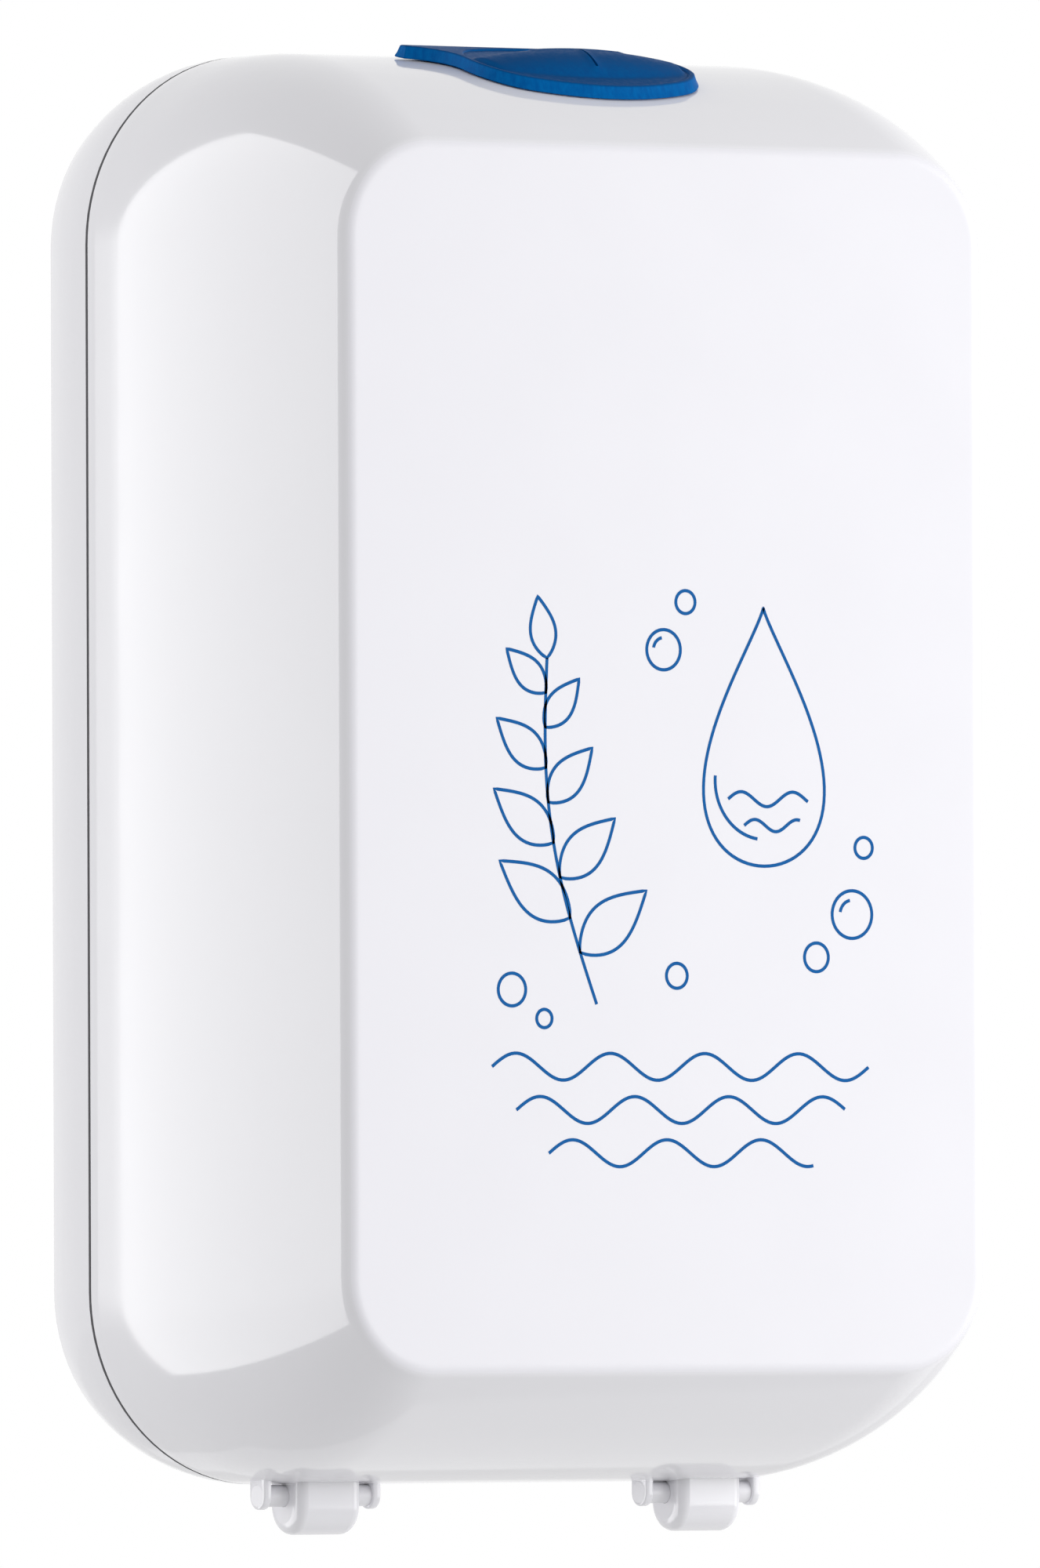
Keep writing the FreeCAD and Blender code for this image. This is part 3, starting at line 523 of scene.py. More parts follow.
@dataclass(frozen=True)
class SeamFinish(Finish):
    """Glossy white plastic with a thin line of painted shade where the two halves of the case meet."""

    line: float = 0.8
    # The seam's painted shade: a darker colour that stands in for the shadow in the narrow gap between the
    # halves.
    painted_seam_shade: Colour = (0.27, 0.27, 0.28)

    def outer_edge(self, web: Web, where: Socket) -> Socket:
        """Return a mask of the case's outermost skin, as thick as the line is wide."""
        core = (HALF_WIDTH - SEAM_CORNER) * MM, 1.0, (HALF_HEIGHT - SEAM_CORNER) * MM
        return self.effect(web, Effect.EDGE, where, Core=core, Reach=(SEAM_CORNER - self.line) * MM)


@dataclass(frozen=True)
class CaseFinish(SeamFinish):
    """The rear half's plastic, with painted seam shade between two depths at its outer edge."""

    seam: Span = (20.68, 21.7)
    lug_top: float = -149.0

    def paint(self, web: Web, where: Socket) -> Paint:
        """Return the sockets: masks on depth, height and the outer edge mix the painted seam shade in.

        Args:
            web: The material's web.
            where: The Object coordinates.

        Returns:
            Colour, roughness and the bump's height.
        """
        parts = web.feed(web.add("ShaderNodeSeparateXYZ"), Vector=where)
        behind = web.sum("LESS_THAN", parts.outputs["Y"], -self.seam[0] * MM)
        before = web.sum("GREATER_THAN", parts.outputs["Y"], -self.seam[1] * MM)
        above = web.sum("GREATER_THAN", parts.outputs["Z"], self.lug_top * MM)
        level = web.sum("MULTIPLY", web.sum("MULTIPLY", behind, before), above)
        mask = web.sum("MULTIPLY", level, self.outer_edge(web, where))
        white, rough, grain = super().paint(web, where)
        # Painted shade: the darker seam colour goes over the white where the masks meet.
        return web.mix(mask, white, self.painted_seam_shade), rough, grain


@dataclass(frozen=True)
class CoverFinish(SeamFinish):
    """The cover's plastic, etched to a soft sheen on the flat front, with painted shade on the seam's edge.
    """

    face: Colour = (0.852, 0.846, 0.893)
    face_rough: Span = (0.40, 0.48)
    face_depth: float = 98.7
    face_blend: float = 0.5
    edge_depth: float = 21.42
    plain_grain: float = 0.15

    def paint(self, web: Web, where: Socket) -> Paint:
        """Return the sockets: a mask on depth mixes the front's colour, roughness and grain in.

        Args:
            web: The material's web.
            where: The Object coordinates.

        Returns:
            Colour, roughness and the bump's height.
        """
        depth = web.feed(web.add("ShaderNodeSeparateXYZ"), Vector=where).outputs["Y"]
        mask = web.spread(depth, (-(self.face_depth - self.face_blend) * MM, -self.face_depth * MM))
        # The edge mask picks the outer skin at the rim, where the seam's painted shade goes.
        level = web.sum("GREATER_THAN", depth, -self.edge_depth * MM)
        edge = web.sum("MULTIPLY", level, self.outer_edge(web, where))
        white, plain, grain = super().paint(web, where)
        front = self.gloss(web, where, self.face_rough)
        step = web.sum("MULTIPLY", web.sum("SUBTRACT", front, plain), mask)
        colour = web.mix(edge, web.mix(mask, white, self.face), self.painted_seam_shade)
        etched = web.sum("MULTIPLY", grain, web.sum("ADD", mask, self.plain_grain))
        return colour, web.sum("ADD", plain, step), etched


@dataclass(frozen=True)
class RubberFinish(Finish):
    """Satin rubber with fine drawn streaks, and painted shade that makes it darker where it faces up."""

    stretch: tuple[float, float, float] = (60.0, 60.0, 8.0)
    streak_depth: float = 0.5
    # The painted shade's colour, mixed in where the rubber faces up, standing in for how light falls on the
    # dome.
    upper: Colour = (0.0, 0.058, 0.200)

    def paint(self, web: Web, where: Socket) -> Paint:
        """Return the sockets: streaks mix the two colours and lift the roughness.

        The mesh's own attribute, how far a point faces up, mixes the darker colour in as painted shade.

        Args:
            web: The material's web.
            where: The Object coordinates.

        Returns:
            Colour, roughness and the bump's height.
        """
        streak = self.effect(web, Effect.STREAK, where, Stretch=self.stretch, Scale=self.patch)
        up = web.add("ShaderNodeAttribute", attribute_name=UPWARD).outputs["Fac"]
        # Painted shade: darker where the surface faces up.
        colour = web.mix(up, web.mix(streak, self.first, self.second), self.upper)
        drawn = web.sum("MULTIPLY", streak, self.streak_depth)
        return (colour, web.spread(streak, WHOLE, *self.rough),
                web.sum("ADD", self.grain(web, where), drawn))


@dataclass(frozen=True)
class FabricFinish(Finish):
    """Soft non-woven fabric of short fibres that cross."""

    fibre: float = 700.0
    turn: float = 0.7
    drawn: float = 0.25

    def paint(self, web: Web, where: Socket) -> Paint:
        """Return the sockets: two drawn noises at an angle make the crossing fibres.

        Args:
            web: The material's web.
            where: The Object coordinates.

        Returns:
            Colour, roughness and the bump's height.
        """
        turned = web.add("ShaderNodeVectorRotate", rotation_type="Y_AXIS")
        web.feed(turned, Vector=where, Angle=self.turn)
        one = self.effect(web, Effect.STREAK, where, Stretch=(1.0, 1.0, self.drawn), Scale=self.fibre)
        two = self.effect(web, Effect.STREAK, turned.outputs[0], Stretch=(self.drawn, 1.0, 1.0),
                          Scale=self.fibre)
        fibres = web.sum("MULTIPLY", web.sum("ADD", one, two), 0.5)
        colour = web.mix(fibres, self.first, self.tint(web, where))
        return colour, self.gloss(web, where, self.rough), fibres


@dataclass(frozen=True)
class MetalFinish(Finish):
    """Turned or plated metal with fine lines drawn one way."""

    stretch: tuple[float, float, float] = (1.0, 1.0, 12.0)

    def paint(self, web: Web, where: Socket) -> Paint:
        """Return the sockets: drawn lines over the drifting colour, roughness and a bump."""
        lines = self.effect(web, Effect.STREAK, where, Stretch=self.stretch, Scale=self.grain_scale)
        return self.tint(web, where), web.spread(lines, WHOLE, *self.rough), lines


# The cover's seam colour is painted shade, like the case's.
COVER_WHITE = CoverFinish("cover_white", (0.853, 0.848, 0.882), (0.845, 0.840, 0.874), (0.07, 0.10),
                          painted_seam_shade=(0.30, 0.30, 0.31))
CASE_WHITE = CaseFinish("case_white", (0.853, 0.848, 0.882), (0.843, 0.838, 0.872), (0.09, 0.13))
PIN_WHITE = Finish("pin_white", (0.84, 0.835, 0.865), (0.80, 0.795, 0.825), (0.30, 0.40))
BLUE_RUBBER = RubberFinish("blue_rubber_satin", (0.0, 0.095, 0.340), (0.0, 0.130, 0.410),
                           (0.38, 0.52), specular=0.02, patch=14.0, bump=0.15)
BLUE_INK = Finish("blue_ink", (0.0, 0.108, 0.365), (0.001, 0.118, 0.385), (0.42, 0.50), specular=0.08,
                  patch=300.0)
TRAY_GREY = Finish("tray_grey", (0.62, 0.63, 0.64), (0.58, 0.59, 0.60), (0.42, 0.52), bump=0.12)
NICKEL = MetalFinish("lock_nickel", (0.70, 0.68, 0.64), (0.62, 0.61, 0.58), (0.20, 0.32), metal=1.0)
ZINC = MetalFinish("cam_zinc", (0.58, 0.58, 0.60), (0.50, 0.50, 0.53), (0.34, 0.50), metal=1.0,
                   stretch=(12.0, 1.0, 1.0))
SCREW = MetalFinish("screw_zinc", (0.60, 0.60, 0.62), (0.52, 0.52, 0.54), (0.28, 0.42), metal=1.0)
WIPE = FabricFinish("wipe_nonwoven", (0.78, 0.79, 0.78), (0.86, 0.86, 0.85), (0.80, 0.92), sheen=0.25,
                    bump=0.5, bump_reach=0.2)

NODE_FINISHES: dict[str, Finish] = {
    "rear_housing": CASE_WHITE,
    "hinge_pin_left": PIN_WHITE,
    "hinge_pin_right": PIN_WHITE,
    "lock_barrel": NICKEL,
    "lock_nut": NICKEL,
    "lock_plug": NICKEL,
    "lock_cam": ZINC,
    "lock_cam_screw": SCREW,
    "tray_screws": SCREW,
    "refill_tray": TRAY_GREY,
}


def material_of(finish: Finish) -> bpy.types.Material:
    """Return a finish's material, built at its first use."""
    return bpy.data.materials.get(finish.name) or finish.build()


def dress_node(name: str, finish: Finish) -> None:
    """Give a CAD node one finish through its object's own slots.

    Args:
        name: The node's name.
        finish: The finish.
    """
    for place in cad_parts[name].material_slots:
        place.link = "OBJECT"
        place.material = material_of(finish)
    LOG.info("%s keeps its solid, dressed in %s", name, finish.name)


def settle(item: Item, finish: Finish, body: Body,
           nodes: tuple[str, ...] = ()) -> None:
    """Dress a new piece, let it ride on a body, and hide the CAD nodes that it stands for.

    Args:
        item: The piece, already in place.
        finish: Its finish.
        body: The body that it moves with.
        nodes: The CAD nodes that it stands for.
    """
    item.data.materials.clear()
    item.data.materials.append(material_of(finish))
    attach(item, body.value)
    if nodes:
        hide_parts(*nodes)
    LOG.info("%s has %d faces and rides on %s", item.name, len(item.data.polygons), body.value)


# The front cover


@dataclass
class FrontCover:
    """The deep front shell with its hinge ears, notches, outlet opening and lock keeper."""

    half_width: float = HALF_WIDTH
    half_height: float = HALF_HEIGHT
    depth: float = 99.0
    edge: float = 21.3
    bend: float = 33.0
    side_inset: float = 15.0
    top_inset: float = 21.0
    bottom_inset: float = 23.5
    seam_corner: float = SEAM_CORNER
    front_corner: float = 20.5
    fillet: float = 3.7
    fillet_end: float = 12.0
    wall: float = 2.6
    edge_round: float = 0.4
    face_insets: tuple[float, ...] = (12.0, 3.0, 0.6)
    lug_place: float = 47.75
    notch_half: float = 8.6
    notch_depths: Span = (18.0, 44.7)
    notch_rise: Span = (-10.0, 7.8)
    hinge_depth: float = 36.0
    hinge_height: float = -152.3
    ear_start: float = 12.6
    ear_thickness: float = 1.9
    ear_radius: float = 2.9
    ear_round: float = 0.4
    ear_root: float = 1.2
    pin_bore: float = 2.32
    bore_spare: float = 1.0
    keeper: tuple[Span, ...] = ((-4.0, 4.0), (26.4, 29.4), (136.0, 148.7))
    keeper_edge: float = 0.5
    corner_steps: int = 28
    side_steps: int = 18
    fillet_rings: int = 14
    outer_rings: int = 40
    inner_rings: int = 26
    rim_rings: int = 5
    ear_steps: int = 25
    ear_rings: int = 4
    sharp: float = 30.0

    def drawn_in(self, depths: Array, inset: float, rounded: bool = False) -> Array:
        """Return how far the skin has drawn in at each depth.

        Up to the bend it has not. Then it follows the arc of radius (reach^2 + inset^2) / (2 inset)
        that leaves the rim straight. Where rounded, the edge circle that touches both that arc and
        the front plane takes over from the point where it touches the arc.

        Args:
            depths: Depths from the wall.
            inset: How far the arc has drawn in at the front plane.
            rounded: True to follow the edge circle.

        Returns:
            The inset at each depth.
        """
        reach = self.depth - self.bend
        radius = (reach ** 2 + inset ** 2) / (2 * inset)
        run = np.clip(depths - self.bend, 0, reach)
        plain = radius - np.sqrt(radius ** 2 - run ** 2)
        if not rounded:
            return plain
        centre = reach - self.fillet
        centre_in = radius - math.sqrt((radius - self.fillet) ** 2 - centre ** 2)
        touch = radius * centre / (radius - self.fillet)
        over = np.clip(run - centre, 0, self.fillet)
        return np.where(run > touch, centre_in - np.sqrt(self.fillet ** 2 - over ** 2), plain)

    def top_line(self, depths: Array) -> Array:
        """Return the height of the cover's top at each depth."""
        return self.half_height - self.drawn_in(depths, self.top_inset)

    def rings(self, depths: Array, inward: Array, rounded: bool) -> Array:
        """Return the shell's outlines at some depths, each drawn in evenly.

        Args:
            depths: Depth of each ring.
            inward: How far each ring is drawn in from the outer skin.
            rounded: True to follow the rounded front edge.

        Returns:
            Points with the shape (rings, points round a ring, 3).
        """
        plain = self.drawn_in(depths, self.side_inset)
        side = self.drawn_in(depths, self.side_inset, rounded)
        top = self.drawn_in(depths, self.top_inset, rounded)
        bottom = self.drawn_in(depths, self.bottom_inset, rounded)
        loss = (self.seam_corner - self.front_corner) * plain / self.side_inset
        outline = rounded_outline(
            self.half_width - side - inward,
            bottom + inward - self.half_height,
            self.half_height - top - inward,
            self.seam_corner - loss - (side - plain) - inward,
            self.corner_steps, self.side_steps,
        )
        level = np.broadcast_to(depths[:, None], outline.shape[:2])
        return np.stack([outline[..., 0], level, outline[..., 1]], axis=-1)

    def shell(self) -> Skin:
        """Work out the closed shell as one run of rings.

        The run starts on the flat front, goes over the front edge and back along the outer skin,
        round the rim's edge, and forward again along the inner skin to the inside of the front.

        Returns:
            The shell's skin.
        """
        flat = np.full(len(self.face_insets), self.depth)
        sweep = np.radians(np.linspace(90, self.fillet_end, self.fillet_rings))
        front_edge = self.depth - self.fillet * (1 - np.sin(sweep))
        side = np.linspace(front_edge[-1], self.bend, self.outer_rings)[1:]
        straight = np.linspace(self.bend, self.edge + self.edge_round, self.rim_rings)[1:]
        roll = np.radians(np.linspace(0, 90, self.rim_rings))[1:]
        rim = self.edge + self.edge_round * (1 - np.sin(roll))
        outer = np.concatenate([flat, front_edge, side, straight, rim])
        inward = np.concatenate([
            self.face_insets, np.zeros(len(front_edge) + len(side) + len(straight)),
            self.edge_round * (1 - np.cos(roll)),
        ])
        inside_end = self.depth - self.wall
        inner = np.concatenate([(self.edge,), np.linspace(self.bend, inside_end, self.inner_rings)])
        skin = Skin()
        skin.tube(np.concatenate([
            self.rings(outer, inward, True),
            self.rings(inner, np.full(len(inner), self.wall), False),
        ]))
        return skin

    def ears(self) -> Skin:
        """Work out the four hinge ears and the keeper.

        An ear's outline is a half circle round the hinge axis with two straight sides up into the
        wall. It is carried along X, drawn in at both faces by a quarter circle for round edges.

        Returns:
            One skin with all of them.
        """
        skin = Skin()
        turn = np.linspace(0, math.pi, self.ear_steps)
        roll = np.radians(np.linspace(0, 90, self.ear_rings))
        ease = self.ear_round * (1 - np.sin(roll))
        step = self.ear_round * (1 - np.cos(roll))
        along = np.concatenate([step, self.ear_thickness - step[::-1]])
        reach = (self.ear_radius - np.concatenate([ease, ease[::-1]]))[:, None]
        depth = self.hinge_depth + reach * np.cos(turn)
        depth = np.concatenate([depth[:, :1], depth, depth[:, -1:]], axis=1)
        head = np.full((len(along), 1), self.ear_root - self.half_height)
        height = np.concatenate([head, self.hinge_height - reach * np.sin(turn), head], axis=1)
        for side in (-1, 1):
            for start in (-self.ear_start - self.ear_thickness, self.ear_start):
                place_x = side * self.lug_place + start + along
                across = np.broadcast_to(place_x[:, None], depth.shape)
                skin.tube(np.stack([across, depth, height], axis=-1))
        skin.box(*self.keeper, edge=self.keeper_edge)
        return skin

    def build(self, outlet: "Outlet") -> Item:
        """Make the cover: the shell with ears and keeper added, and notches, bores and outlet cut.

        Args:
            outlet: The outlet, whose neck goes through the cover's top.

        Returns:
            The cover.
        """
        item = self.shell().make("cover_shell")
        openings, bores = Skin(), Skin()
        low, high = (rise - self.half_height for rise in self.notch_rise)
        ends = self.ear_start + self.ear_thickness + self.bore_spare
        for side in (-1, 1):
            middle = side * self.lug_place
            openings.box((middle - self.notch_half, middle + self.notch_half), self.notch_depths, (low, high))
            bores.rod((middle - ends, middle + ends), self.hinge_depth, self.hinge_height, self.pin_bore)
        openings.prism(outlet.oval(-outlet.flange), CUT_HEIGHTS)
        work(item, [(Cut.ADD, self.ears()), (Cut.TAKE, openings), (Cut.TAKE, bores)], self.sharp)
        settle(item, COVER_WHITE, Body.COVER, ("front_cover",))
        return item


# The rubber outlet


@dataclass
class Outlet:
    """The rubber outlet: a rim and tab on the cover, a neck through it, a lip and a slit dome."""

    cover: FrontCover
    middle: float = 65.0
    half_width: float = 28.0
    half_depth: float = 16.3
    long_radius: float = 55.0
    tab_reach: float = 34.9
    tab_flank: float = 13.0
    tab_setback: float = 1.2
    widest: float = 71.0
    back_draw: float = 0.0095
    rim_height: float = 2.9
    rim_width: float = 2.0
    rim_round: float = 0.5
    rim_draft: float = 0.75
    rim_tilt: float = -0.03
    rim_foot: tuple[Span, ...] = ((-0.2, -0.05), (0.0, 0.1))
    rim_land: float = 0.05
    tab_shares: tuple[float, ...] = (0.3, 0.6, 0.9)
    skirt_top: float = 1.3
    skirt: tuple[Span, ...] = ((0.0, 0.55), (-0.1, 0.38))
    skirt_inset: float = 0.45
    flange: float = 4.5
    neck_gap: float = 0.3
    lip: float = 2.5
    lip_thickness: float = 1.8
    lip_chamfer: Span = (0.3, 0.35)
    throat_chamfer: float = 0.3
    seat: float = 0.25
    dish: float = 2.4
    groove: float = 0.4
    skin: float = 1.6
    dome_depth: float = 64.2
    dome_rise: float = 5.2
    dome_size: tuple[float, float, float] = (59.0, 16.2, 25.0)
    dome_blend: float = 0.01
    dome_edge: float = 0.06
    slit: tuple[float, float, float] = (10.2, 8.1, 0.30)
    slit_swell: float = 0.3
    slit_spread: float = 1.1
    upward: Span = (0.35, 0.85)
    arc_steps: int = 30
    back_steps: int = 14
    left_steps: int = 20
    tip_steps: int = 5
    flank_steps: int = 20
    round_rows: int = 5
    first_share: float = 0.01
    dense_share: float = 0.9
    dense_rings: int = 8
    upper_rings: int = 48
    under_rings: int = 30
    sharp: float = 36.0

    @property
    def rise(self) -> float:
        """How far the centres of the oval's long arcs lie from the middle."""
        return self.long_radius - self.half_depth

    @property
    def end_radius(self) -> float:
        """The radius of the oval's ends, which run smoothly into its long arcs."""
        square = self.long_radius ** 2 - self.rise ** 2 - self.half_width ** 2
        return square / (2 * (self.long_radius - self.half_width))

    @property
    def end_x(self) -> float:
        """How far the centres of the oval's ends lie from the middle."""
        return self.half_width - self.end_radius

    @property
    def lean(self) -> float:
        """The turn at which a long arc runs into an end."""
        return math.asin(self.end_x / (self.long_radius - self.end_radius))

    @property
    def flank_turn(self) -> float:
        """The turn, about the hollow flank's centre, at which the flank leaves the oval."""
        return math.acos(self.tab_setback / (self.end_radius + self.tab_flank))

    @property
    def neck(self) -> float:
        """The outset of the neck, which goes through the cover."""
        return -self.flange - self.neck_gap

    @property
    def throat(self) -> float:
        """The outset of the throat, inside the neck's wall."""
        return self.neck - self.skin

    def right_part(self, outset: float) -> Array:
        """Return the front, the right end and half the back, with the right end drawn in behind.

        Behind the widest depth, X shrinks by a share that goes with X and with the way back.

        Args:
            outset: How far the outline is moved outward.

        Returns:
            Points (x, depth).
        """
        long_radius = self.long_radius + outset
        lean, half_turn = self.lean, math.pi
        plan = np.concatenate([
            arc_points((0.0, self.middle - self.rise), long_radius,
                       np.linspace(-lean, lean, self.arc_steps)[:-1]),
            arc_points((self.end_x, self.middle), self.end_radius + outset,
                       np.linspace(lean, half_turn - lean, self.arc_steps)[:-1]),
            arc_points((0.0, self.middle + self.rise), long_radius,
                       np.linspace(half_turn - lean, half_turn, self.back_steps)),
        ])
        x, depth = plan.T
        way = np.maximum(self.widest - depth, 0) * np.maximum(x, 0) / self.half_width
        return np.column_stack([x * (1 - self.back_draw * way), depth])

    def left_end(self, outset: float) -> Array:
        """Return the rest of the left end, from the tab's flank to the front."""
        turns = np.linspace(math.pi + self.flank_turn, math.tau - self.lean, self.left_steps)[:-1]
        return arc_points((-self.end_x, self.middle), self.end_radius + outset, turns)

    def oval(self, outset: float) -> Array:
        """Return the oval moved outward: two long arcs and two end arcs that follow each other.

        Args:
            outset: How far the outline is moved outward.

        Returns:
            Points (x, depth), right-handed about the downward axis.
        """
        back = np.linspace(math.pi, math.pi + self.lean, self.back_steps + 1)[1:]
        end = np.linspace(math.pi + self.lean, math.pi + self.flank_turn,
                          self.tip_steps + self.flank_steps + 1)
        return np.concatenate([
            self.right_part(outset),
            arc_points((0.0, self.middle + self.rise), self.long_radius + outset, back),
            arc_points((-self.end_x, self.middle), self.end_radius + outset, end[:-1]),
            self.left_end(outset),
        ])[::-1]

    def tabbed(self, outset: float) -> Array:
        """Return the oval with its tab moved outward, with as many points as the oval.

        The tab's back runs straight on along X from the middle of the oval's back, its tip lies
        across X, and its flank is a hollow arc that touches the left end.

        Args:
            outset: How far the outline is moved outward.

        Returns:
            Points (x, depth), right-handed about the downward axis.
        """
        right = self.right_part(outset)
        start = right[-1]
        tip_x = -self.tab_reach - outset
        back_corner = np.array([tip_x, start[1]])
        apart = self.end_radius + self.tab_flank
        hollow_x = -self.end_x - math.sqrt(apart ** 2 - self.tab_setback ** 2)
        hollow = self.tab_flank - outset
        tip_turn = math.pi - math.asin((tip_x - hollow_x) / hollow)
        flank = arc_points((hollow_x, self.middle - self.tab_setback), hollow,
                           np.linspace(tip_turn, self.flank_turn, self.flank_steps + 1))
        back = start + (back_corner - start) * np.linspace(0, 1, self.back_steps + 1)[1:, None]
        tip = back_corner + (flank[0] - back_corner) * np.linspace(0, 1, self.tip_steps + 1)[1:, None]
        return np.concatenate([right, back, tip, flank[1:], self.left_end(outset)])[::-1]

    def dome(self, x: Array, depth: Array, shrink: float) -> Array:
        """Return the height of the upright ellipsoid above each plan point.

        It is the middle's height plus c sqrt(1 - (x / a)^2 - (v / b)^2), where a, b and c are the
        half axes and v is the depth from the dome's middle.

        Args:
            x: X of the points.
            depth: Depth of the points.
            shrink: How much smaller the ellipsoid's half axes are.

        Returns:
            Z of the ellipsoid, or of its middle where there is none.
        """
        a, b, c = (size - shrink for size in self.dome_size)
        rest = 1 - (x / a) ** 2 - ((depth - self.dome_depth) / b) ** 2
        foot = self.cover.top_line(np.array([self.dome_depth]))[0] + self.dome_rise - self.dome_size[2]
        return foot + c * np.sqrt(np.maximum(rest, 0))

    def inside(self, plan: Array, level: float, shrink: float, swell: float, steps: int) -> Array:
        """Return rings that shrink from an outline to its middle, lifted to the membrane's height.

        A ring is the middle plus a share of the way out to the outline. Its height is the greater
        of the dish and the dome, softened as (a + b + sqrt((a - b)^2 + k)) / 2; the dome runs down
        to the dish over the last part of the way, and the slit's lips swell as a bell curve from
        the nearer slit arm.

        Args:
            plan: The outline, points (x, depth).
            level: The dish's height above the cover's top.
            shrink: How much smaller the dome is.
            swell: Height of the slit's lips.
            steps: How many rings.

        Returns:
            Points with the shape (rings, points, 3), from the middle outward.
        """
        share = np.concatenate([
            np.linspace(self.first_share, self.dense_share, steps - self.dense_rings),
            np.linspace(self.dense_share, 1, self.dense_rings + 1)[1:],
        ])[:, None]
        middle = np.array([0.0, self.middle])
        spread = middle + (plan[None] - middle) * share[..., None]
        x, depth = spread[..., 0], spread[..., 1]
        floor = self.cover.top_line(depth) + level
        way = np.clip((1 - share) / self.dome_edge, 0, 1)
        rise = floor + (self.dome(x, depth, shrink) - floor) * way * way * (3 - 2 * way)
        softened = (floor + rise + np.sqrt((floor - rise) ** 2 + self.dome_blend)) / 2
        half_x, half_v, _ = self.slit
        v = depth - self.middle
        along_x = np.hypot(np.maximum(np.abs(x) - half_x, 0), v)
        along_v = np.hypot(np.maximum(np.abs(v) - half_v, 0), x)
        near = np.minimum(along_x, along_v)
        lifted = softened + swell * np.exp(-(near / self.slit_spread) ** 2)
        return np.stack([x, depth, lifted], axis=-1)

    def band(self, outset: float, height: float, tab: float = 0.0) -> Array:
        """Return one ring at a height above the cover's top, which falls a little to the front.

        Args:
            outset: How far the outline is moved outward.
            height: Height above the cover's top, in the middle.
            tab: 1 for the outline with the tab, 0 for the oval, and shares between them.

        Returns:
            The ring's points.
        """
        plan = self.oval(outset) * (1 - tab) + self.tabbed(outset) * tab if tab else self.oval(outset)
        tilt = 1 + self.rim_tilt * (plan[:, 1] - self.middle) / self.half_depth
        return upright(plan, self.cover.top_line(plan[:, 1]) + height * tilt)

    def profile(self) -> list[tuple[float, ...]]:
        """Return the rim's section as rows of outset, height above the cover and share of the tab.

        It runs up the inner face of the rim, over its rounded top, down the drafted outer face, in
        under the rim, down the neck, round the lip below and up the throat.

        Returns:
            The rows in that order. A row without a share has none of the tab.
        """
        turn = np.radians(np.linspace(0, 90, self.round_rows))
        soft, inner, high, draft = self.rim_round, -self.rim_width, self.rim_height, self.rim_draft
        rows = [(inner + out, self.dish + up) for out, up in self.rim_foot]
        rows += [(inner + soft * (1 - math.cos(a)), high - soft * (1 - math.sin(a))) for a in turn]
        rows += [(inner + soft + self.rim_land, high, share) for share in self.tab_shares]
        rows += [(-draft - soft * (1 - math.sin(a)), high - soft * (1 - math.cos(a)), 1.0) for a in turn]
        skirt = ((-draft / 2, self.skirt_top), *self.skirt, (-self.skirt_inset, self.seat))
        rows += [(*row, 1.0) for row in skirt]
        edge, top = self.lip - self.flange, -self.cover.wall - self.seat
        foot = top - self.lip_thickness
        (cut, fall), ease = self.lip_chamfer, self.throat_chamfer
        return rows + [
            (self.neck, self.seat), (self.neck, top), (edge - cut, top), (edge, top - fall),
            (edge, foot + fall), (edge - cut, foot), (self.throat + ease, foot), (self.throat, foot + ease),
        ]

    def mark_upward(self, mesh: bpy.types.Mesh) -> None:
        """Keep how far each point faces up, from 0 on an upright wall to 1, as an attribute for the rubber's
        painted shade.

        Args:
            mesh: The finished mesh.
        """
        normals = np.empty(len(mesh.vertices) * 3, dtype=np.float32)
        mesh.vertices.foreach_get("normal", normals)
        low, high = self.upward
        share = np.clip((normals[2::3] - low) / (high - low), 0, 1)
        mesh.attributes.new(UPWARD, "FLOAT", "POINT").data.foreach_set("value", share)

    def build(self) -> Item:
        """Make the outlet: dome, rim section and the dome's underside as one run of rings, slit.

        Returns:
            The outlet.
        """
        upper = self.inside(self.oval(-self.rim_width - self.groove), self.dish, 0.0, self.slit_swell,
                            self.upper_rings)
        under = self.inside(self.oval(self.throat), self.dish - self.skin, self.skin, 0.0,
                            self.under_rings)
        rim = np.stack([self.band(*row) for row in self.profile()])
        skin, cutter = Skin(), Skin()
        skin.tube(np.concatenate([upper, rim, under[::-1]]))
        item = skin.make("outlet_rubber")
        half_x, half_v, gap = self.slit
        cross = np.array([
            (-gap, -half_v), (gap, -half_v), (gap, -gap), (half_x, -gap), (half_x, gap), (gap, gap),
            (gap, half_v), (-gap, half_v), (-gap, gap), (-half_x, gap), (-half_x, -gap), (-gap, -gap),
        ]) + (0.0, self.middle)
        cutter.prism(cross, CUT_HEIGHTS)
        work(item, [(Cut.TAKE, cutter)], self.sharp)
        self.mark_upward(item.data)
        settle(item, BLUE_RUBBER, Body.COVER, ("outlet_membrane",))
        return item


# The printed line design on the front


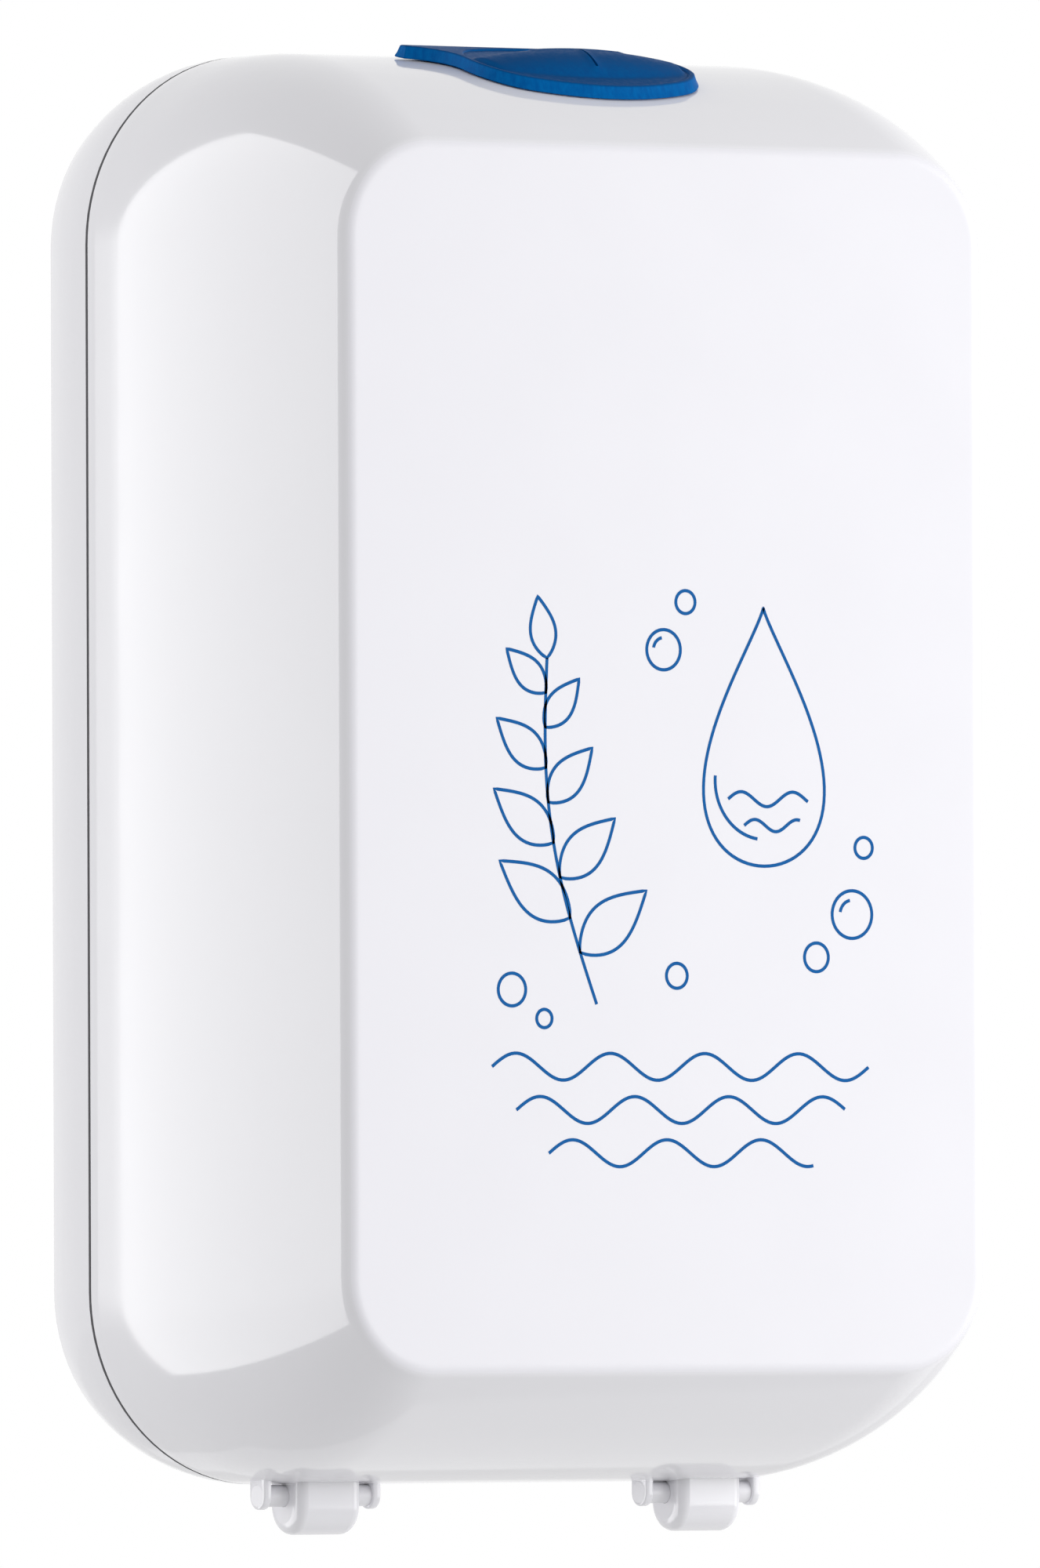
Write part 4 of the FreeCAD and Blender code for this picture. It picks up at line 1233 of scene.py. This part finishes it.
@dataclass
class FrontPrint:
    """A plain line design of a drop, a sprig, bubbles and waves, printed on the front."""

    face: float = 99.0
    line: float = 0.70
    low: float = 0.01
    high: float = 0.05
    drop: tuple[float, float, float, float] = (24.0, 6.0, 36.0, 54.0)
    drop_shape: Span = (1.4, 1.18)
    drop_glint: tuple[float, float, float, float] = (-0.17, 0.34, 175.0, 262.0)
    drop_waves: tuple[tuple[float, float, float, float], ...] = (
        (-9.0, 11.0, -13.0, 0.55), (-5.0, 9.0, -18.5, 0.45))
    bubbles: tuple[tuple[float, float, float], ...] = (
        (-1.0, 24.0, 4.2), (4.5, 34.0, 2.4), (46.0, -31.0, 5.0), (37.0, -40.0, 3.0), (49.0, -17.0, 2.2),
        (-39.0, -47.0, 3.4), (-31.0, -53.0, 1.9), (2.0, -44.0, 2.6),
    )
    ring: Span = (0.0, 351.0)
    shine: Span = (100.0, 170.0)
    shine_share: float = 0.6
    shine_least: float = 4.0
    waves: tuple[tuple[float, float, float], ...] = ((-44.0, 50.0, -63.0), (-38.0, 44.0, -72.0),
                                                     (-30.0, 36.0, -81.0))
    wave_height: float = 2.8
    wave_length: float = 23.5
    stem_foot: Span = (-18.0, -50.0)
    stem_rise: Span = (-12.0, 72.0)
    stem_bow: float = 5.0
    leaf_pairs: int = 4
    leaf_knots: tuple[int, int, int] = (9, 15, 13)
    leaf_size: Span = (21.0, -2.6)
    leaf_right: Span = (38.0, 4.0)
    leaf_left: Span = (146.0, -3.0)
    leaf_top: Span = (100.0, 13.0)
    leaf_shape: Span = (0.24, 0.8)
    path_steps: int = 24
    arc_count: int = 41
    stem_count: int = 61
    sharp: float = 40.0

    def drop_path(self) -> Array:
        """Work out a drop: x follows sin t times a power of sin of half t, and z follows cos t.

        Returns:
            The closed path.
        """
        x, z, wide, high = self.drop
        power, swell = self.drop_shape
        t = np.linspace(0, math.tau, 4 * self.path_steps + 1)[:-1]
        return np.column_stack([x + wide / 2 * np.sin(t) * np.sin(t / 2) ** power * swell,
                                z + high / 2 * np.cos(t)])

    def arc_path(self, centre: Span, radius: float, start: float, end: float) -> Array:
        """Return part of a circle between two angles in degrees."""
        t = np.radians(np.linspace(start, end, self.arc_count))
        return np.column_stack([centre[0] + radius * np.cos(t), centre[1] + radius * np.sin(t)])

    def wave_path(self, start: float, end: float, height: float, shrink: float = 1.0) -> Array:
        """Work out a sine line from one X to another.

        Args:
            start: Where it starts.
            end: Where it ends.
            height: Z of its middle line.
            shrink: Its size against the large waves.

        Returns:
            The open path.
        """
        x = np.linspace(start, end, 5 * self.path_steps + 1)
        turn = (x - start) / (self.wave_length * shrink) * math.tau
        return np.column_stack([x, height + self.wave_height * shrink * np.sin(turn)])

    def stem_path(self) -> Array:
        """Work out the sprig's stem: a straight rise and a bow that goes with the sine of the way.

        Returns:
            The open path.
        """
        t = np.linspace(0, 1, self.stem_count)
        (x, z), (run, rise) = self.stem_foot, self.stem_rise
        return np.column_stack([x + run * t - self.stem_bow * np.sin(t * math.pi), z + rise * t])

    def leaf_path(self, root: Array, angle: float, length: float) -> Array:
        """Return a leaf: its half width follows the sine of the way, out along one side and back.

        Args:
            root: Where the leaf leaves the stem.
            angle: The leaf's direction in degrees.
            length: The leaf's length.

        Returns:
            The closed path.
        """
        way = np.linspace(0, 1, self.path_steps + 1)
        t = np.concatenate([way[:-1], way[:0:-1]])
        width, power = self.leaf_shape
        wide = np.repeat([1, -1], self.path_steps) * width * length * np.sin(math.pi * t ** power)
        cos, sin = math.cos(math.radians(angle)), math.sin(math.radians(angle))
        along = t * length
        return np.column_stack([root[0] + along * cos - wide * sin, root[1] + along * sin + wide * cos])

    def strokes(self) -> list[tuple[Array, bool]]:
        """Gather every stroke of the design.

        Returns:
            Each stroke's path, and whether it closes.
        """
        x, z, wide, high = self.drop
        rise, share, start, end = self.drop_glint
        found = [(self.drop_path(), True),
                 (self.arc_path((x, z + high * rise), wide * share, start, end), False)]
        found += [(self.wave_path(x + left, x + right, z + fall, shrink), False)
                  for left, right, fall, shrink in self.drop_waves]
        found += [(self.arc_path((bx, bz), radius, *self.ring), True) for bx, bz, radius in self.bubbles]
        found += [(self.arc_path((bx, bz), radius * self.shine_share, *self.shine), False)
                  for bx, bz, radius in self.bubbles if radius > self.shine_least]
        found += [(self.wave_path(*wave), False) for wave in self.waves]
        stem = self.stem_path()
        found.append((stem, False))
        right, left, apart = self.leaf_knots
        for number in range(self.leaf_pairs):
            size, turn_right, turn_left = (
                base + change * number for base, change in (self.leaf_size, self.leaf_right, self.leaf_left))
            found.append((self.leaf_path(stem[right + apart * number], turn_right, size), True))
            found.append((self.leaf_path(stem[left + apart * number], turn_left, size), True))
        found.append((self.leaf_path(stem[-1], *self.leaf_top), True))
        return found

    def ribbon(self, path: Array, closed: bool) -> Array:
        """Return the flat rectangle of the line's section carried along a path.

        Args:
            path: Points (x, z) of the stroke.
            closed: True where the last point runs on to the first.

        Returns:
            Rings with the shape (points, 4, 3).
        """
        if closed:
            ahead, behind = np.roll(path, -1, 0), np.roll(path, 1, 0)
        else:
            ahead = np.vstack([path[1:], path[-1:]])
            behind = np.vstack([path[:1], path[:-1]])
        run = ahead - behind
        run /= np.linalg.norm(run, axis=1, keepdims=True)
        out = np.column_stack([-run[:, 1], run[:, 0]]) * self.line / 2
        low, high = self.face + self.low, self.face + self.high
        corners = ((1, low), (1, high), (-1, high), (-1, low))
        return np.stack([
            np.column_stack([path[:, 0] + sign * out[:, 0], np.full(len(path), depth),
                             path[:, 1] + sign * out[:, 1]]) for sign, depth in corners
        ], axis=1)

    def build(self) -> Item:
        """Make the print as one object that rides on the cover.

        Returns:
            The print.
        """
        skin = Skin()
        for path, closed in self.strokes():
            skin.tube(self.ribbon(path, closed), joined=closed)
        item = skin.make("front_print", self.sharp)
        settle(item, BLUE_INK, Body.COVER)
        return item


# The roll


@dataclass
class WipeRoll:
    """The roll of moist wipes: many thin turns round an open core."""

    depth: float = 51.5
    radius: float = 37.9
    core: float = 9.1
    foot: float = -123.1
    top: float = 76.6
    turn_step: float = 1.45
    ridge: float = 0.55
    slack: float = 0.35
    slack_rate: float = 0.55
    slack_wander: float = 1.3
    sides: int = 144
    rows: int = 150
    side_rows: int = 14
    sharp: float = 60.0

    def end(self, height: float, up: int) -> Array:
        """Return one wound end: a spiral of ridges between the core and the outside.

        The height falls from the ridge's top by the ridge times the fourth power of the sine of
        the spiral's phase, which is the radius over one turn's step less the angle over a turn.
        A slow wave lets some turns stand a little lower.

        Args:
            height: Z of the ridges' tops.
            up: 1 for the upper end and -1 for the lower one.

        Returns:
            Rings from the core outward.
        """
        turn = np.linspace(0, math.tau, self.sides, endpoint=False)[None, :]
        reach = np.linspace(self.core, self.radius, self.rows)[:, None]
        phase = reach / self.turn_step - turn / math.tau
        fall = self.ridge * np.sin(math.pi * phase) ** 4
        slow = self.slack * (1 - np.cos(reach * self.slack_rate + self.slack_wander * np.sin(turn))) / 2
        depth = self.depth + reach * np.cos(turn)
        level = height - up * (fall + slow)
        return np.stack([reach * np.sin(turn), depth, level], axis=-1)

    def build(self) -> Item:
        """Make the roll: upper end, outside and lower end, joined through the core.

        Returns:
            The roll.
        """
        upper, lower = self.end(self.top, 1), self.end(self.foot, -1)
        share = np.linspace(0, 1, self.side_rows)[1:-1, None, None]
        outside = upper[-1] + (lower[-1] - upper[-1]) * share
        skin = Skin()
        skin.tube(np.concatenate([upper, outside, lower[::-1]])[:, ::-1], joined=True)
        item = skin.make("roll_wound", self.sharp)
        settle(item, WIPE, Body.REAR, ("wipe_roll",))
        return item


# The studio, in metres


@dataclass(frozen=True)
class Lamp:
    """One soft panel that faces a point of the object, to light it, to be mirrored in it, or both."""

    name: str
    place: tuple[float, float, float]
    size: Span
    power: float
    aim: tuple[float, float, float] = (0.0, -0.05, 0.0)
    lights: bool = True
    mirrored: bool = True

    def build(self) -> None:
        """Make the panel, which the camera looks past."""
        light = bpy.data.lights.new(self.name, "AREA")
        light.shape = "RECTANGLE"
        light.size, light.size_y = self.size
        light.energy = self.power
        item = bpy.data.objects.new(self.name, light)
        item.location = self.place
        item.rotation_euler = (Vector(self.aim) - Vector(self.place)).to_track_quat("-Z", "Y").to_euler()
        item.visible_camera = False
        item.visible_diffuse = self.lights
        item.visible_glossy = self.mirrored
        bpy.context.scene.collection.objects.link(item)


@dataclass
class Studio:
    """Camera, white surroundings, soft panels and a pale floor."""

    image: tuple[int, int] = (1327, 2000)
    back: tuple[float, float, float] = (-0.5446, -0.8387, -0.0215)
    look: tuple[float, float, float] = (0.0, -0.0496, 0.0)
    look_pixel: Span = (687.85, 981.6)
    distance: float = 5.0
    focal_pixels: float = 30325.0
    roll: float = -0.217
    sensor: float = 36.0
    far: float = 100.0
    floor_height: float = -1.25
    floor_half: float = 5.0
    floor_thickness: float = 0.02
    floor_grey: float = 0.78
    floor_glow: float = 0.7
    ambient: float = 0.66
    white: tuple[float, ...] = (1.0, 1.0, 1.0, 1.0)
    lamps: tuple[Lamp, ...] = (
        Lamp("panel_front_right", (1.10, -0.95, 0.08), (1.0, 1.2), 13.2),
        Lamp("panel_back_left", (-0.7435, 0.426, 0.325), (0.961, 2.15), 21.0, (0.0, 0.3255, 0.325),
             lights=False),
        Lamp("panel_below", (0.72, 0.68, -0.98), (1.5, 0.75), 0.95, (0.0, -0.05, -0.15), lights=False),
        Lamp("fill_left", (-1.0, 0.75, 0.0), (0.8, 1.2), 4.4, mirrored=False),
    )

    def camera(self) -> None:
        """Set the camera: a long lens, shifted so that the looked-at point lands on its pixel."""
        data = bpy.data.cameras.new("camera")
        wide, high = self.image
        data.sensor_width = self.sensor
        data.lens = self.focal_pixels / high * self.sensor
        data.shift_x = (wide / 2 - self.look_pixel[0]) / high
        data.shift_y = (self.look_pixel[1] - high / 2) / high
        data.clip_end = self.far
        back = Vector(self.back).normalized()
        right = Vector((0.0, 0.0, 1.0)).cross(back).normalized()
        axes = Matrix((right, back.cross(right), back)).transposed().to_4x4()
        item = bpy.data.objects.new("camera", data)
        roll = Matrix.Rotation(math.radians(self.roll), 4, "Z")
        item.matrix_world = Matrix.Translation(Vector(self.look) + back * self.distance) @ axes @ roll
        bpy.context.scene.collection.objects.link(item)
        bpy.context.scene.camera = item

    def seen(self, web: Web) -> Socket:
        """Mask what the camera looks on, straight, mirrored or through a piece.

        Args:
            web: The web of the world or of a material.

        Returns:
            The mask's socket, 1 where it is seen.
        """
        path = web.add("ShaderNodeLightPath")
        clear = web.sum("MAXIMUM", path.outputs["Is Camera Ray"], path.outputs["Is Transmission Ray"])
        return web.sum("MAXIMUM", clear, path.outputs["Is Glossy Ray"])

    def surroundings(self) -> None:
        """Make the world: white where it is seen, and a plain level of light elsewhere."""
        world = bpy.data.worlds.new("surroundings")
        world.use_nodes = True
        web = Web(world.node_tree)
        light, shown = (web.feed(web.add("ShaderNodeBackground"), Color=self.white, Strength=strength)
                        for strength in (self.ambient, 1.0))
        web.feed(web.add("ShaderNodeOutputWorld"), Surface=web.either(self.seen(web), light, shown))
        bpy.context.scene.world = world

    def floor(self) -> None:
        """Lay the pale floor below the object."""
        skin = Skin()
        half, level, foot = (size / MM for size in (
            self.floor_half, self.floor_height, self.floor_height - self.floor_thickness))
        skin.box((-half, half), (-half, half), (foot, level))
        item = skin.make("floor")
        material = bpy.data.materials.new("floor_pale")
        material.use_nodes = True
        web = Web(material.node_tree)
        matt = web.feed(web.add("ShaderNodeBsdfDiffuse"), Color=(*[self.floor_grey] * 3, 1.0))
        glow = web.feed(web.add("ShaderNodeEmission"), Color=self.white, Strength=1.0)
        share = web.sum("MULTIPLY", self.seen(web), self.floor_glow)
        web.feed(web.add("ShaderNodeOutputMaterial"), Surface=web.either(share, matt, glow))
        item.data.materials.append(material)

    def build(self) -> None:
        """Set up everything round the object."""
        self.camera()
        self.surroundings()
        self.floor()
        for lamp in self.lamps:
            lamp.build()
        bpy.context.scene.view_settings.view_transform = "Standard"


def main() -> None:
    """Build the dressed dispenser and its studio."""
    logging.basicConfig(level=logging.INFO, format="%(name)s: %(message)s")
    build_effects()
    for name, finish in NODE_FINISHES.items():
        dress_node(name, finish)
    cover = FrontCover()
    outlet = Outlet(cover)
    cover.build(outlet)
    outlet.build()
    FrontPrint().build()
    WipeRoll().build()
    Studio().build()


if __name__ == "__main__":
    main()
